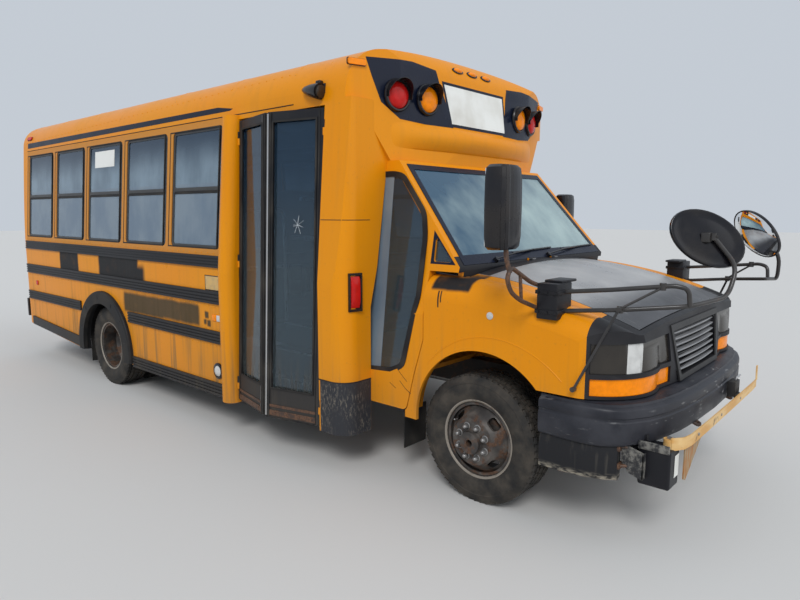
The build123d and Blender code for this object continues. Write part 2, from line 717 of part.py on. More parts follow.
def clip_solid(inset):
    """The front clip as one solid, inset all round by a distance."""
    drop = inset
    rear = clip_section(CLIP_REAR, CAB_HALF - inset, 1120 - drop, 1275 - drop, COWL_HEIGHT + 12 - drop)
    middle = clip_section(350, CAB_HALF + 4 - inset, 1080 - drop, 1200 - drop, 1250 - drop)
    front = clip_section(CLIP_NOSE, CAB_HALF - 14 - inset, 930 - drop, 1030 - drop, NOSE_TOP - drop)
    body = loft([rear, middle, front])
    nose = outline((CLIP_FRONT + 14 - inset, FAR), (CLIP_FRONT - inset, NOSE_TOP), (CLIP_NOSE - inset, NOSE_BOTTOM),
                   (CLIP_NOSE - inset, 0), (-FAR / 2, 0), (-FAR / 2, FAR))
    plan = make_face(
        [
            Line((-FAR / 2, -CAB_HALF - 20), (600 - inset, -CAB_HALF - 20)),
            Line((600 - inset, -CAB_HALF - 20), (600 - inset, -CAB_HALF + inset)),
            ThreePointArc((600 - inset, -CAB_HALF + inset), (770 - inset, -900), (CLIP_NOSE - 40 - inset, -560)),
            ThreePointArc((CLIP_NOSE - 40 - inset, -560), (CLIP_NOSE - inset, 0), (CLIP_NOSE - 40 - inset, 560)),
            ThreePointArc((CLIP_NOSE - 40 - inset, 560), (770 - inset, 900), (600 - inset, CAB_HALF - inset)),
            Line((600 - inset, CAB_HALF - inset), (600 - inset, CAB_HALF + 20)),
            Line((600 - inset, CAB_HALF + 20), (-FAR / 2, CAB_HALF + 20)),
            Line((-FAR / 2, CAB_HALF + 20), (-FAR / 2, -CAB_HALF - 20)),
        ]
    )
    return body & along_y(nose, -FAR / 2, FAR / 2) & along_z(plan, 0, FAR)


def build_front_clip():
    """Hood, fenders and the front fascia."""
    clip = clip_solid(0) - clip_solid(CLIP_WALL)
    clip -= block(CLIP_REAR - 10, COWL + 6, -CLIP_INNER, CLIP_INNER, 0, FAR)
    clip -= block(CLIP_REAR - 10, COWL - 20, -FAR, FAR, CAB_BELT, FAR)
    clip -= along_y(offset(door_outline(), DOOR_GAP), -FAR / 2, FAR / 2)
    clip -= block(CLIP_REAR - 50, -400, -FAR, FAR, CAB_BELT - 300, FAR)
    arch = Plane(origin=(FRONT_ARCH_X, FAR / 2, FRONT_ARCH_Z), z_dir=(0, -1, 0)) * Circle(FRONT_ARCH_RADIUS)
    clip -= extrude(arch, FAR)
    low = FRONT_ARCH_RADIUS - 1
    clip -= block(FRONT_ARCH_X - low, FRONT_ARCH_X + low, -FAR, FAR, 0, FRONT_ARCH_Z)
    clip -= block(FASCIA_X - 700, FAR, -FAR, FAR, 0, BUMPER_TOP + 15)
    hood_zone = block(COWL + 6, FASCIA_X + 160, -HOOD_HALF, HOOD_HALF, NOSE_TOP - 60, FAR)
    gap_zone = block(COWL, FASCIA_X + 166, -HOOD_HALF - DOOR_GAP, HOOD_HALF + DOOR_GAP, NOSE_TOP - 60, FAR)
    keep("hood", largest(clip & hood_zone))
    rest = clip - gap_zone
    fascia_zone = block(FASCIA_X, FAR, -FAR, FAR, 0, FAR)
    fascia = largest(rest & fascia_zone)
    rest -= fascia_zone
    halves = [largest(rest & block(-FAR, FAR, *span, 0, FAR)) for span in ((-FAR, -1), (1, FAR))]
    keep("fenders", halves)
    return build_fascia(fascia)


def largest(shape):
    """The largest solid of a shape."""
    return shape.solids().sort_by(SortBy.VOLUME)[-1]


def build_fascia(fascia):
    """Grille opening with bars, headlamp and turn lamp recesses, and the radiator support behind."""
    mouth = rectangle(-GRILLE_HALF + 40, GRILLE_HALF - 40, MOUTH_BOTTOM, NOSE_TOP - 50)
    fascia -= along_x(fillet(mouth.vertices(), 30), 700, FAR / 2)
    lamps = []
    turns = []
    lens = clip_solid(12) - clip_solid(26)
    for side in (-1, 1):
        for span, group in ((LAMP_SPAN, lamps), (TURN_SPAN, turns)):
            low, high = sorted((side * (GRILLE_HALF + 30), side * (CAB_HALF + 40)))
            fascia -= block(LAMP_REAR, FAR / 2, low, high, *span)
            low, high = sorted((side * (GRILLE_HALF + 30 + RUN), side * (CAB_HALF + 40)))
            group.append(largest(lens & block(LAMP_REAR + RUN, FAR / 2, low, high, span[0] + RUN, span[1] - RUN)))
    keep("front_lamps", lamps, turns)
    support = block(CLIP_FRONT - 110, CLIP_FRONT - 80, -700, 700, RAIL_TOP, 980)
    support -= block(CLIP_FRONT - 120, CLIP_FRONT - 70, -380, 380, RAIL_TOP + 40, 940)
    for side in (-1, 1):
        y0 = side * 700
        support += block(CLIP_FRONT - 110, CLIP_FRONT - 20, min(y0, y0 - side * 30), max(y0, y0 - side * 30), 848, 860)
    bars = []
    pitch = (NOSE_TOP - 50 - MOUTH_BOTTOM) / (GRILLE_BARS + 1)
    slope = (CLIP_NOSE - CLIP_FRONT) / (NOSE_TOP - NOSE_BOTTOM)
    for index in range(GRILLE_BARS):
        z = MOUTH_BOTTOM + (index + 1) * pitch
        x = CLIP_NOSE - (z - NOSE_BOTTOM) * slope
        bars.append(block(x - 46, x - 14, -GRILLE_HALF + 38, GRILLE_HALF - 38, z - 6, z + 6))
    grille = fascia
    for bar in bars:
        grille = grille + bar
    keep("grille", grille)
    return support


def build_bumpers():
    def plan(inset, front):
        half = CAB_HALF + 12 - inset
        return [
            (BUMPER_END - (50 if inset else 0), -half),
            (640, -half),
            (790 - inset, -half + 30 + inset / 2),
            (front - 60 - inset, -640),
            (front - inset, -275),
        ]

    def face(inset, front):
        right = plan(inset, front)
        left = [(x, -y) for x, y in reversed(right)]
        return outline(*right, *left)

    bumper = along_z(face(0, BUMPER_FRONT), BUMPER_BOTTOM, BUMPER_TOP)
    bumper = fillet(bumper.edges().filter_by(Axis.Z), 18)
    bumper -= along_z(face(BUMPER_WALL, BUMPER_FRONT), BUMPER_BOTTOM - 1, BUMPER_TOP - BUMPER_WALL)
    bumper -= block(-FAR, RAIL_FRONT + 20, -CAB_HALF + 20, CAB_HALF - 20, 0, FAR)
    apron = along_z(face(10, BUMPER_FRONT), VALANCE_BOTTOM, BUMPER_BOTTOM + 10)
    apron -= along_z(face(28, BUMPER_FRONT), VALANCE_BOTTOM - 1, BUMPER_BOTTOM + 11)
    bumper += apron & block(BUMPER_END, VALANCE_REACH, -FAR, FAR, 0, FAR)
    for side in (-1, 1):
        y = side * RAIL_Y
        bumper += block(RAIL_FRONT, BUMPER_FRONT - BUMPER_WALL - 20, y - 30, y + 30, RAIL_TOP - 150, BUMPER_TOP - BUMPER_WALL)
        y0, y1 = side * (CAB_HALF - 16), side * CAB_HALF
        bumper += block(560, 640, min(y0, y1), max(y0, y1), BUMPER_TOP - 20, BUMPER_TOP + 15 - RUN)
    keep("front_bumper", bumper)
    bar_rear = BODY_REAR - REAR_BUMPER_DEPTH
    rear = block(bar_rear, BODY_REAR - 20, -BODY_HALF + 20, BODY_HALF - 20, REAR_BUMPER_BOTTOM, REAR_BUMPER_TOP)
    rear = fillet(rear.edges().filter_by(Axis.Z).group_by(Axis.X)[0], 45)
    rear -= block(bar_rear + 8, BODY_REAR, -BODY_HALF + 60, BODY_HALF - 60, REAR_BUMPER_BOTTOM + 8, REAR_BUMPER_TOP - 8)
    for side in (-1, 1):
        y = side * RAIL_Y
        rear += block(bar_rear + 4, BODY_REAR, y - 45, y + 45, REAR_BUMPER_BOTTOM + 90, REAR_BUMPER_TOP - 20)
    keep("rear_bumper", rear)


def build_frame(support):
    """Two channel rails with cross members, lift pads and the radiator support that stands on them."""
    z0 = RAIL_TOP - RAIL_HEIGHT
    frame = None
    for side in (-1, 1):
        outer = side * (RAIL_Y + RAIL_WIDTH / 2)
        inner = side * (RAIL_Y - RAIL_WIDTH / 2)
        rail = block(RAIL_REAR, RAIL_FRONT, min(outer, inner), max(outer, inner), z0, RAIL_TOP)
        cut_low = side * (RAIL_Y + RAIL_WIDTH / 2 - RAIL_WALL)
        low, high = sorted((cut_low, inner - side))
        rail -= block(RAIL_REAR - 1, RAIL_FRONT + 1, low, high, z0 + RAIL_WALL, RAIL_TOP - RAIL_WALL)
        frame = rail if frame is None else frame + rail
    reach = RAIL_Y + RAIL_WIDTH / 2 - RAIL_WALL
    for x in (RAIL_REAR + 40, -5200, -4600, -3300, -2350, -1420, 640):
        frame += block(x, x + 60, -reach, reach, RAIL_TOP - RAIL_WALL - 44, RAIL_TOP - RAIL_WALL)
    saddle = block(GEARBOX_MOUNT, GEARBOX_MOUNT + 60, -reach, reach, z0 + RAIL_WALL, z0 + RAIL_WALL + 26)
    frame += saddle - along_x(Pos(0, GEARBOX_Z) * Circle(GEARBOX_RADIUS + RUN), -2000, 0)
    length, width, thick = LIFT_PAD
    for x in LIFT_X:
        for y in (-RAIL_Y, RAIL_Y):
            frame += block(x - length / 2, x + length / 2, y - width / 2, y + width / 2, z0 - thick, z0)
    keep("frame", frame + support)


def build_driveline():
    """Engine and gearbox as one plain mass, with the driveshaft, exhaust and fuel tank."""
    web = RAIL_Y + RAIL_WIDTH / 2 - RAIL_WALL
    engine = block(-620, 420, -210, 210, 505, 880)
    engine = fillet(engine.edges().filter_by(Axis.X), 50)
    engine += block(60, 160, -web, web, 600, 640)
    engine += along_x(Pos(0, GEARBOX_Z) * Circle(GEARBOX_RADIUS), -1330, -610)
    keep("engine", engine)
    start, end = Vector(-1330, 0, GEARBOX_Z), Vector(REAR_AXLE + DIFF_RADIUS - 8, 0, TYRE_RADIUS + 20)
    path = Line(start, end)
    shaft = sweep(Plane(origin=path @ 0, z_dir=path % 0) * Circle(38), path=path)
    flange = Pos(-1330, 0, GEARBOX_Z) * Box(60, 200, 200, align=(Align.MIN, Align.CENTER, Align.CENTER))
    keep("driveshaft", shaft - flange - differential())
    y, z = PIPE_Y, PIPE_Z
    pipe = tube(30, (150, -205, 570), (60, y, z), (-2110, y, z), bend=60)
    pipe += along_x(Pos(y, z) * Circle(92), -2900, -2100)
    pipe += tube(30, (-2890, y, z), (-3300, y, z), (-3480, y - 150, z), bend=120)
    hook = RAIL_TOP - RAIL_WALL - 44
    for x, top in ((-2335, z + 80), (-3285, z + 20)):
        pipe += block(x, x + 30, y - 15, y + 15, top, hook)
    keep("exhaust", pipe - engine)
    tank_rear, tank_front = BODY_REAR + TANK_END_GAP, REAR_AXLE - TANK_AXLE_GAP
    tank = block(tank_rear, tank_front, -330, 330, 370, 600)
    tank = fillet(tank.edges().filter_by(Axis.X), 60)
    for x in (tank_rear + 250, tank_front - 280):
        tank += block(x, x + 50, -RAIL_Y + 27, RAIL_Y - 27, 600 - 1, 606)
        for side in (-1, 1):
            y0, y1 = side * 333, side * (RAIL_Y + RAIL_WIDTH / 2 - RAIL_WALL)
            tank += block(x, x + 50, min(y0, y1), max(y0, y1), 598, 606)
    keep("fuel_tank", tank)


def differential():
    """The round middle of the rear axle."""
    return Pos(REAR_AXLE, 0, TYRE_RADIUS) * Cylinder(DIFF_RADIUS, 190, rotation=(90, 0, 0))


def axle_ring(section, x, z=TYRE_RADIUS):
    """Turns a section drawn in (distance along Y, radius) about the wheel's axis."""
    plane = Plane(origin=(x, 0, z), x_dir=(0, 1, 0), z_dir=(1, 0, 0))
    face = plane * make_face(Polyline(*section, close=True))
    return revolve(face, Axis((x, 0, z), (0, 1, 0)))


def rim_at(x, y, side):
    """A steel wheel whose dished centre lies on one side of its middle."""
    half = RIM_WIDTH / 2
    lip = 10
    seat = RIM_RADIUS - RIM_WALL
    barrel = [(-half, seat), (half, seat), (half, RIM_LIP), (half - lip, RIM_LIP), (half - lip, RIM_RADIUS),
              (lip - half, RIM_RADIUS), (lip - half, RIM_LIP), (-half, RIM_LIP)]
    disc = [(40, seat + 2), (54, seat + 2), (DISC_OFFSET + 8, 132), (DISC_OFFSET + 8, HUB_RADIUS - 4),
            (DISC_OFFSET, HUB_RADIUS - 4), (DISC_OFFSET, 126)]
    rim = axle_ring([(y + side * a, r) for a, r in barrel], x)
    centre = axle_ring([(y + side * a, r) for a, r in disc], x)
    for index in range(HAND_HOLES):
        angle = math.radians(45 + index * 360 / HAND_HOLES)
        hole = Pos(x + 160 * math.cos(angle), y, TYRE_RADIUS + 160 * math.sin(angle))
        slot = extrude(SlotOverall(76, 34, rotation=90), 400, both=True)
        centre -= hole * Rot(0, -math.degrees(angle), 0) * Rot(90, 0, 0) * slot
    return rim + centre


def tyre_at(x, y):
    """A tyre with its air space, its beads beside the lips of the rim."""
    bead = RIM_WIDTH / 2 - 10 - RUN
    half = TYRE_WIDTH / 2
    low, top = RIM_RADIUS + RUN, TYRE_RADIUS
    outer = [(bead, low), (bead, RIM_LIP + 4), (half - 10, RIM_LIP + 24), (half, 292), (half - 8, 334), (half - 24, top - 8),
             (half - 44, top)]
    wall = TYRE_WALL
    inner = [(bead - wall, low), (bead - wall, RIM_LIP + 8), (half - 12 - wall, RIM_LIP + 34), (half - wall, 292),
             (half - 14 - wall, 330), (half - 48, top - wall - 8)]
    right = outer + [(-a, r) for a, r in reversed(outer)]
    left = [(-a, r) for a, r in inner] + [(a, r) for a, r in reversed(inner)]
    return axle_ring([(y + a, r) for a, r in right + left], x)


def build_wheels():
    for side, name in ((-1, "right"), (1, "left")):
        hub_in = FRONT_TYRE_Y + 38
        rim = rim_at(0, side * FRONT_TYRE_Y, side)
        face = FRONT_TYRE_Y + DISC_OFFSET
        hub = [(hub_in, SPINDLE + RUN), (hub_in, HUB_RADIUS), (hub_in + 4, HUB_RADIUS), (hub_in + 4, 150),
               (hub_in + 28, 150), (hub_in + 28, HUB_RADIUS), (face + 40, HUB_RADIUS), (face + 40, 20),
               (face - 6, 20), (face - 6, SPINDLE + RUN)]
        rim += axle_ring([(side * a, r) for a, r in hub], 0)
        keep(f"front_rim_{name}", rim)
        keep(f"front_tyre_{name}", tyre_at(0, side * FRONT_TYRE_Y))
        outer_y, inner_y = REAR_OUTER_Y, REAR_OUTER_Y - DUAL_SPACING
        mid = (outer_y + inner_y) / 2
        pair = rim_at(REAR_AXLE, side * outer_y, -side) + rim_at(REAR_AXLE, side * inner_y, side)
        drum = [(mid - 100, AXLE_END + RUN), (mid - 100, 168), (mid - 20, 168), (mid - 8, 130), (mid + 8, 130),
                (mid + 8, 70), (mid + 96, 70), (mid + 96, 20), (mid + 70, 20), (mid + 70, AXLE_END + RUN)]
        pair += axle_ring([(side * a, r) for a, r in drum], REAR_AXLE)
        keep(f"rear_rims_{name}", pair)
        keep(f"rear_tyres_{name}", tyre_at(REAR_AXLE, side * outer_y), tyre_at(REAR_AXLE, side * inner_y))


def build_axles():
    """Front cross beam with arms, the knuckles, the rear axle and its leaf springs."""
    z0 = RAIL_TOP - RAIL_HEIGHT
    lower = (TYRE_RADIUS - 108, TYRE_RADIUS - 84)
    upper = (TYRE_RADIUS + 96, TYRE_RADIUS + 116)
    foot = TYRE_RADIUS - 70
    beam = block(-70, 70, -RAIL_Y, RAIL_Y, foot, foot + 50)
    for side in (-1, 1):
        y0, y1 = side * (RAIL_Y - 35), side * (RAIL_Y + 35)
        beam += block(-60, 60, min(y0, y1), max(y0, y1), foot, z0)
        reach = side * (KINGPIN_Y - 20)
        beam += block(-28, 28, min(y0, reach), max(y0, reach), *lower)
        beam += block(-28, 28, min(y1, reach), max(y1, reach), *upper)
        beam += block(-60, 60, min(y0, y1), max(y0, y1), lower[0], foot + 1)
        for low, high in (lower, upper):
            beam += Pos(0, side * KINGPIN_Y, (low + high) / 2) * Cylinder(32, high - low)
        middle = (lower[1] + upper[0]) / 2
        knuckle = Pos(0, side * KINGPIN_Y, middle) * Cylinder(30, upper[0] - lower[1] - 2 * RUN)
        spindle_end = FRONT_TYRE_Y + DISC_OFFSET - 10
        spindle = Cylinder(SPINDLE, spindle_end - KINGPIN_Y, rotation=(90, 0, 0))
        knuckle += Pos(0, side * (KINGPIN_Y + spindle_end) / 2, TYRE_RADIUS) * spindle
        knuckle += Pos(0, side * (KINGPIN_Y + 70), TYRE_RADIUS) * Cylinder(58, 100, rotation=(90, 0, 0))
        keep("knuckle_right" if side < 0 else "knuckle_left", knuckle)
    keep("front_suspension", beam)
    mid = REAR_OUTER_Y - DUAL_SPACING / 2
    axle = Pos(REAR_AXLE, 0, TYRE_RADIUS) * Cylinder(52, 2 * (mid - 110), rotation=(90, 0, 0))
    axle += Pos(REAR_AXLE, 0, TYRE_RADIUS) * Cylinder(AXLE_END, 2 * (mid + 60), rotation=(90, 0, 0))
    axle += differential()
    springs = []
    for side in (-1, 1):
        axle += Pos(REAR_AXLE, side * (mid - 116), TYRE_RADIUS) * Cylinder(165, 10, rotation=(90, 0, 0))
        axle += block(REAR_AXLE - 60, REAR_AXLE + 60, side * SPRING_Y - 40, side * SPRING_Y + 40, TYRE_RADIUS, SPRING_SEAT)
        leaf = [(-680, 560), (-680, 540), (-300, SPRING_SEAT), (300, SPRING_SEAT), (680, 540), (680, 560),
                (300, SPRING_SEAT + 45), (-300, SPRING_SEAT + 45)]
        profile = outline(*[(REAR_AXLE + x, z) for x, z in leaf])
        spring = along_y(profile, side * SPRING_Y - 35, side * SPRING_Y + 35)
        for x in (REAR_AXLE - 680, REAR_AXLE + 620):
            y0, y1 = side * (RAIL_Y + RAIL_WIDTH / 2), side * (SPRING_Y + 35)
            spring += block(x, x + 60, min(y0, y1), max(y0, y1), 535, 640)
        springs.append(spring)
    keep("rear_axle", axle)
    keep("leaf_springs", springs)


def rail_strip(side, x0, x1, z0, z1):
    """A ribbed rub rail that follows the wall."""
    middle = ((x0 + x1) / 2, (z0 + z1) / 2)
    plane = side_plane(*middle, side)
    if z1 < LEAN_START:
        plane = Plane(origin=(middle[0], side * BODY_HALF, middle[1]), x_dir=(-1, 0, 0), z_dir=(0, side, 0))
    height = z1 - z0
    strip = extrude(plane * Rectangle(x1 - x0, height), RAIL_DEPTH)
    for share in (-0.25, 0, 0.25):
        groove = plane.offset(RAIL_DEPTH - 7) * (Pos(0, share * height) * Rectangle(x1 - x0, height * 0.1))
        strip -= extrude(groove, 20)
    return strip


def build_rails_and_guards():
    strips = []
    rear = BODY_REAR + 130
    for side, front in ((-1, DOOR_REAR - 2 * POST_RADIUS - 8), (1, STOP_PIVOT[0] - 110)):
        strips.append(rail_strip(side, rear, front, *BELT_RAIL))
        strips.append(rail_strip(side, rear, front, *SEAT_RAIL))
        gap = ARCH_RADIUS + FLARE_WIDTH
        strips.append(rail_strip(side, rear, REAR_AXLE - gap + 40, *FLOOR_RAIL))
        strips.append(rail_strip(side, REAR_AXLE + gap - 40, front, *FLOOR_RAIL))
        strips.append(rail_strip(side, REAR_AXLE + gap + 12, front, *SKIRT_RAIL))
        strips.append(rear_skirt_rail(side, rear + 70, REAR_AXLE - gap - 30))
    keep("rub_rails", strips)
    flares = []
    for side in (-1, 1):
        y0, y1 = side * BODY_HALF, side * (BODY_HALF + FLARE_DEPTH)
        arch = Pos(REAR_AXLE, ARCH_Z) * Circle(ARCH_RADIUS + FLARE_WIDTH)
        arch -= Pos(REAR_AXLE, ARCH_Z) * Circle(ARCH_RADIUS - 12)
        ring = along_y(arch, min(y0, y1), max(y0, y1))
        ring -= block(REAR_AXLE - FAR, REAR_AXLE + FAR, -FAR, FAR, 0, SKIRT + 25)
        outer = [e for e in ring.edges().filter_by(GeomType.CIRCLE) if abs(abs(e.center().Y) - abs(y1)) < 1]
        ring = fillet([e for e in outer if abs(e.radius - ARCH_RADIUS - FLARE_WIDTH) < 1], 20)
        flares.append(largest(ring))
        y_in, y_out = side * (REAR_OUTER_Y - DUAL_SPACING - 110), side * (REAR_OUTER_Y + 90)
        flap_x = REAR_AXLE - TYRE_RADIUS - 90
        flares.append(block(flap_x, flap_x + 8, min(y_in, y_out), max(y_in, y_out), 150, FLOOR_TOP - FLOOR_SLAB - RUN))
        front_x = -FRONT_ARCH_RADIUS - 75
        f_in, f_out = side * 760, side * 968
        flares.append(block(front_x, front_x + 6, min(f_in, f_out), max(f_in, f_out), 190, SILL - RUN))
    keep("rubber_guards", flares)


def rear_skirt_rail(side, x0, x1):
    """The skirt rail behind the wheels, rising with the body's lower edge."""
    low0, low1 = SKIRT + SKIRT_REAR_RISE - 8, SKIRT + 34
    face = outline((x0, low0), (x1, low1), (x1, low1 + 97), (x0, low0 + 92))
    y0, y1 = side * BODY_HALF, side * (BODY_HALF + RAIL_DEPTH)
    return along_y(face, min(y0, y1), max(y0, y1))


def leaf_frame(length, height):
    """A door leaf laid flat: hinge edge at X 0, outer face at Y 0, foot at Z 0."""
    leaf = block(0, length, 0, LEAF_DEPTH, 0, height)
    window = block(LEAF_STILE, length - LEAF_STILE, -1, LEAF_DEPTH + 1, 190, height - 60)
    return leaf - window


def place_leaf(shape, side):
    """Puts a flat leaf in the doorway: side 1 hangs on the front jamb, -1 on the rear jamb."""
    hinge = DOOR_FRONT - 6 if side > 0 else DOOR_REAR + 6
    if side > 0:
        shape = mirror(shape, about=Plane.YZ)
    swing = math.degrees(math.atan2(DOOR_FOLD, (DOOR_FRONT - DOOR_REAR) / 2))
    lean = math.degrees(math.atan(leaf_lean()))
    return Pos(hinge, -BODY_HALF, DOOR_BOTTOM) * Rot(-lean, 0, 0) * Rot(0, 0, side * swing) * shape


def leaf_lean():
    """How far the doorway leans inwards for each unit of height."""
    return (BODY_HALF - side_y(DOOR_TOP)) / (DOOR_TOP - DOOR_BOTTOM)


def build_entrance_doors():
    half = (DOOR_FRONT - DOOR_REAR) / 2
    length = math.hypot(half, DOOR_FOLD) - 20
    height = (DOOR_TOP - DOOR_BOTTOM) / math.cos(math.atan(leaf_lean()))
    pane = block(LEAF_STILE + RUN, length - LEAF_STILE - RUN, 14, 14 + GLASS, 190 + RUN, height - 60 - RUN)
    for side, name in ((1, "front"), (-1, "rear")):
        keep(f"entrance_leaf_{name}", place_leaf(leaf_frame(length, height), side))
        keep(f"entrance_glass_{name}", place_leaf(pane, side))


def build_rear_door():
    half = REAR_DOOR_HALF - DOOR_GAP
    low, high = REAR_DOOR_BOTTOM + DOOR_GAP, REAR_DOOR_TOP - DOOR_GAP
    door = block(BODY_REAR, BODY_REAR + BODY_WALL, -half, half, low, high)
    upper = fillet(rectangle(-half + 110, half - 110, WINDOW_BOTTOM, high - 100).vertices(), 45)
    lower = fillet(rectangle(-half + 110, half - 110, low + 130, WINDOW_BOTTOM - 130).vertices(), 45)
    opening = along_x(upper, BODY_REAR - 5, BODY_REAR + 60)
    low_opening = along_x(lower, BODY_REAR - 5, BODY_REAR + 60)
    keep("rear_door", door - opening - low_opening)
    panes = []
    for z0, z1 in ((WINDOW_BOTTOM, high - 100), (low + 130, WINDOW_BOTTOM - 130)):
        face = rectangle(-half + 110 + RUN, half - 110 - RUN, z0 + RUN, z1 - RUN)
        panes.append(along_x(fillet(face.vertices(), 44.7), BODY_REAR + 14, BODY_REAR + 14 + GLASS))
    keep("rear_door_glass", panes)


def build_hatch():
    """The roof hatch lid, hinged at its front edge, on a low curb."""
    half = HATCH_SIZE / 2 + 30
    base = crown_height() + RUN
    lid = block(HATCH_X - half, HATCH_X + half, -half, half, base, base + HATCH_HEIGHT)
    lid = fillet(lid.edges().filter_by(Axis.Z), 50)
    lid = fillet(lid.faces().sort_by(Axis.Z)[-1].edges(), 22)
    lid -= block(HATCH_X - half + 20, HATCH_X + half - 20, -half + 20, half - 20, 0, base + HATCH_HEIGHT - 12)
    keep("roof_hatch", lid)


def build_arms():
    """Crossing arm across the front bumper and the stop arm on the left side."""
    px, py = ARM_PIVOT
    dx, dy, dz = ARM_BOX
    box_top = ARM_HEIGHT - 24
    base = block(px - dx + 30, px + 30, py - dy / 2, py + dy / 2, box_top - dz, box_top)
    base = fillet(base.edges(), 12)
    base += block(px - 180, px - 90, py - 40, py + 40, box_top - 90, BUMPER_BOTTOM + 60)
    base -= bumper_solid()
    base = largest(base)
    base += Pos(px, py, box_top + 2.7) * Cylinder(16, 6)
    arm = Pos(px, py, ARM_HEIGHT) * Cylinder(26, 36)
    end = py + ARM_LENGTH
    arm += tube(ARM_TUBE, (px, py, ARM_HEIGHT), (px + 62, py + 70, ARM_HEIGHT), (px + 62, end, ARM_HEIGHT),
                (px + 62, end + 30, ARM_HEIGHT + ARM_TIP_RISE), bend=40)
    keep("crossing_arm", arm)
    sx, sy = STOP_PIVOT
    wide, deep, tall = STOP_BOX
    stop_base = block(sx + 14, sx + 14 + wide, sy, sy + deep, STOP_Z - tall / 2, STOP_Z + tall / 2)
    stop_base = fillet(stop_base.edges().filter_by(Axis.Z), 14)
    blade_y = sy + STOP_STAND
    grip = STOP_BARREL + RUN
    for z0, z1 in ((grip, grip + 14), (-grip - 14, -grip)):
        stop_base += block(sx - 9, sx + 16, blade_y - 9, blade_y + 9, STOP_Z + z0, STOP_Z + z1)
    stop_base += Pos(sx, blade_y, STOP_Z) * Cylinder(HINGE_PIN, 2 * grip + 20)
    keep("arm_motors", base, stop_base)
    half = STOP_SIZE / 2
    angles = [math.radians(22.5 + 45 * index) for index in range(8)]
    radius = half / math.cos(math.radians(22.5))
    sign_x = sx - 30 - half
    points = [(sign_x + radius * math.cos(a), STOP_Z + radius * math.sin(a)) for a in angles]
    blade = along_y(outline(*points), blade_y - 6, blade_y + 6)
    blade += block(sign_x + half - 20, sx, blade_y - 6, blade_y + 6, STOP_Z - 80, STOP_Z + 80)
    blade += Pos(sx, blade_y, STOP_Z) * Cylinder(9, 2 * STOP_BARREL)
    blade -= Pos(sx, blade_y, STOP_Z) * Cylinder(HINGE_PIN + RUN, 2 * STOP_BARREL + 2)
    keep("stop_arm", blade)


def bumper_solid():
    return parts["front_bumper"]


def barrel(axis, radius, low, high):
    """A cylinder on the Z of an axis plane between two heights."""
    return axis.location * Pos(0, 0, (low + high) / 2) * Cylinder(radius, high - low)


def hang(fixed, moving, axis, *middles):
    """Joins two filed pieces by barrel hinges: the lower half and the pin stay with the first."""
    half = HINGE_LENGTH / 2
    room = HINGE_RADIUS + HINGE_CLEAR
    for middle in middles:
        at = Vertex(*(axis.location * Pos(0, 0, middle)).position)
        held = parts[fixed].solids().sort_by(lambda solid: solid.distance_to(at))
        own = held[0] - barrel(axis, room, middle, middle + half + HINGE_CLEAR)
        own += barrel(axis, HINGE_RADIUS, middle - half, middle)
        own += barrel(axis, HINGE_PIN, middle - 1, middle + half - 4)
        keep(fixed, own, held[1:])
        leaf = parts[moving] - barrel(axis, room, middle - half - HINGE_CLEAR, middle + RUN)
        leaf += barrel(axis, HINGE_RADIUS, middle + RUN, middle + half)
        keep(moving, leaf - barrel(axis, HINGE_PIN + RUN, middle, middle + half + 1))


def build_hinges():
    """Barrel hinges of the doors, the door leaves and the hood."""
    door = Plane(origin=(DOOR_EDGE + DOOR_GAP / 2, CAB_HALF, 0), z_dir=(0, 0, 1))
    hang("fenders", "driver_door", door, 975)
    rear = Plane(origin=(BODY_REAR, -REAR_DOOR_HALF + DOOR_GAP / 2, 0), z_dir=(0, 0, 1))
    hang("rear_wall", "rear_door", rear, 950, 1460, 1970)
    for x, name in ((DOOR_FRONT - 3, "front"), (DOOR_REAR + 3, "rear")):
        jamb = Plane(origin=(x, -BODY_HALF, DOOR_BOTTOM), z_dir=(0, leaf_lean(), 1))
        hang("entrance_frame", f"entrance_leaf_{name}", jamb, 120, 1000, 1850)
    cowl = Plane(origin=(COWL + 3, 0, HOOD_PIN_Z), z_dir=(0, 1, 0))
    hang("cab_shell", "hood", cowl, -150, 150)


def cross_view(side):
    """The oval dish of a cross-view mirror, turned to face the driver's seat."""
    yaw, pitch = math.radians(-50), 0.3
    facing = (math.cos(yaw) * math.cos(pitch), -side * math.sin(yaw) * math.cos(pitch), math.sin(pitch))
    dish = Plane(origin=(CROSS_X, side * CROSS_Y, CROSS_Z), x_dir=(-side * facing[1], side * facing[0], 0), z_dir=facing)
    oval = Rot(0, 0, side * CROSS_TILT) * Ellipse(*CROSS_OVAL)
    solid = extrude(oval, 20, both=True)
    return dish * fillet(solid.edges(), 12)


